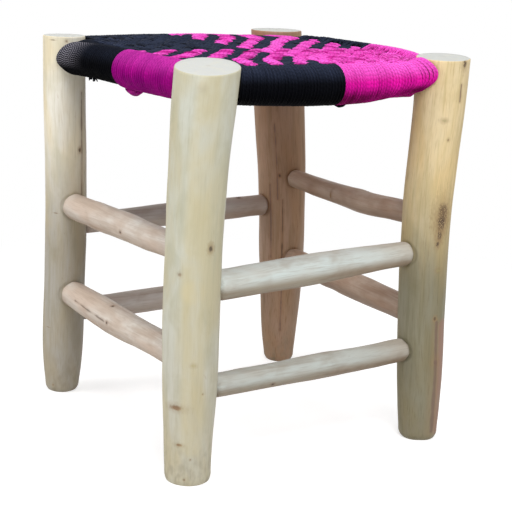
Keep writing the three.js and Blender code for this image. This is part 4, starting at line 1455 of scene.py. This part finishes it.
CAMERA_AT = (-0.85058, -1.35083, 0.57898)
CAMERA_RIGHT = (0.84514, -0.53333, 0.03616)
CAMERA_UP = (0.09490, 0.21626, 0.97171)
CAMERA_FORWARD = (0.52606, 0.81780, -0.23338)
SENSOR_WIDTH, CLIP_END = 36, 50
FLOOR_REACH, PAPER_FROM, PAPER_FULL = 14.0, 0.35, 0.95
LAMPS_AIM = (0, 0, 0.25)
WHITE = (1, 1, 1)


def in_view(shader):
    """1 where a surface is seen or mirrored, 0 where it only lights the stool."""
    outputs = shader.node("ShaderNodeLightPath").output.node.outputs
    rays = ("Is Camera Ray", "Is Glossy Ray", "Is Transmission Ray")
    seen = [Socket(shader, outputs[name]) for name in rays]
    return (seen[0] + seen[1] + seen[2]).math("MINIMUM", 1.0)


class STOOL_OT_stage(Operator):
    """Set the pale floor, the soft lamps and the camera"""
    bl_idname = "stool.stage"
    bl_label = "Stage"

    def execute(self, context):
        scene, look = context.scene, context.scene.stool_stage
        scene.view_settings.view_transform = "Standard"
        camera = bpy.data.objects.new("camera", bpy.data.cameras.new("camera"))
        camera.data.lens, camera.data.sensor_width = look.lens, SENSOR_WIDTH
        camera.data.clip_end = CLIP_END
        turn = Matrix((CAMERA_RIGHT, CAMERA_UP, [-c for c in CAMERA_FORWARD])).transposed()
        camera.matrix_world = Matrix.Translation(CAMERA_AT) @ turn.to_4x4()
        scene.collection.objects.link(camera)
        scene.camera = camera
        self.floor(look)
        self.world(scene, look)
        self.lamp("key_lamp", look.key, 1.2, (-0.4, -1.6, 1.75))
        self.lamp("side_lamp", look.side, 1.0, (-1.6, 0.35, 1.1))
        self.lamp("top_lamp", look.top, 1.3, (0.35, 0.3, 1.9))
        return {"FINISHED"}

    def floor(self, look):
        """Pale paper that turns white away from the stool."""
        mesh = bpy.data.meshes.new("floor")
        corners = [(x * FLOOR_REACH, y * FLOOR_REACH, 0) for x, y in ((-1, -1), (1, -1), (1, 1), (-1, 1))]
        mesh.from_pydata(corners, [], [(0, 1, 2, 3)])
        shader = Shader("floor_paper")
        seen = in_view(shader)
        plain = shader.node("ShaderNodeBsdfDiffuse", {}, {"Color": tuple(look.floor)})
        glow = shader.node("ShaderNodeEmission", {}, {"Color": WHITE, "Strength": look.glow})
        white = shader.node("ShaderNodeEmission", {}, {"Color": WHITE, "Strength": 1.0})
        both = shader.node("ShaderNodeAddShader", {}, {0: plain, 1: glow})
        near = shader.node("ShaderNodeMixShader", {}, {0: seen, 1: plain, 2: both})
        where = shader.node("ShaderNodeTexCoord", out="Object")
        far = shader.vector("LENGTH", where, out=1).between(PAPER_FROM, PAPER_FULL) * seen
        surface = shader.node("ShaderNodeMixShader", {}, {0: far, 1: near, 2: white})
        shader.node("ShaderNodeOutputMaterial", {}, {"Surface": surface})
        mesh.materials.append(shader.owner)
        floor = bpy.data.objects.new("floor", mesh)
        bpy.context.scene.collection.objects.link(floor)

    def world(self, scene, look):
        """Dim light from all round, white where it is seen."""
        shader = Shader("surroundings", "worlds")
        scene.world = shader.owner
        share = in_view(shader)
        dim = shader.node("ShaderNodeBackground", {}, {"Color": WHITE, "Strength": look.world})
        white = shader.node("ShaderNodeBackground", {}, {"Color": WHITE, "Strength": 1.0})
        surface = shader.node("ShaderNodeMixShader", {}, {0: share, 1: dim, 2: white})
        shader.node("ShaderNodeOutputWorld", {}, {"Surface": surface})

    def lamp(self, name, power, width, place):
        """A round, soft lamp that looks at the stool."""
        data = bpy.data.lights.new(name, "AREA")
        data.energy, data.size, data.shape = power, width, "DISK"
        lamp = bpy.data.objects.new(name, data)
        lamp.location = place
        lamp.rotation_euler = (Vector(LAMPS_AIM) - Vector(place)).to_track_quat("-Z", "Y").to_euler()
        bpy.context.scene.collection.objects.link(lamp)


# The panel in the sidebar, and what registers it all.


class STOOL_PT_build(Panel):
    """The stool's pieces and settings"""
    bl_idname = "STOOL_PT_build"
    bl_label = "Stool"
    bl_space_type = "VIEW_3D"
    bl_region_type = "UI"
    bl_category = "Stool"

    def draw(self, context):
        for operator in BUILD_ORDER:
            self.layout.operator(operator.bl_idname)
        for key in SETTINGS:
            box = self.layout.box()
            group = getattr(context.scene, key)
            for name in group.__annotations__:
                box.prop(group, name)


BUILD_ORDER = (
    STOOL_OT_stage, STOOL_OT_posts, STOOL_OT_rungs, STOOL_OT_rails, STOOL_OT_cords,
    STOOL_OT_cord_ends,
)
SETTINGS = {
    "stool_wood": StoolWoodSizes,
    "stool_cord": StoolCordSizes,
    "stool_colours": StoolColours,
    "stool_stage": StoolStage,
}


def register():
    """Registers the settings, the operators and the panel."""
    for group in SETTINGS.values():
        bpy.utils.register_class(group)
    for operator in BUILD_ORDER:
        bpy.utils.register_class(operator)
    bpy.utils.register_class(STOOL_PT_build)
    for key, group in SETTINGS.items():
        setattr(bpy.types.Scene, key, PointerProperty(type=group))


def unregister():
    """Takes them out again."""
    for key in SETTINGS:
        delattr(bpy.types.Scene, key)
    bpy.utils.unregister_class(STOOL_PT_build)
    for operator in reversed(BUILD_ORDER):
        bpy.utils.unregister_class(operator)
    for group in reversed(SETTINGS.values()):
        bpy.utils.unregister_class(group)


def main():
    """Builds the whole stool."""
    register()
    bpy.ops.stool.stage()
    bpy.ops.stool.posts()
    bpy.ops.stool.rungs()
    bpy.ops.stool.rails()
    bpy.ops.stool.cords()
    bpy.ops.stool.cord_ends()


if __name__ == "__main__":
    main()
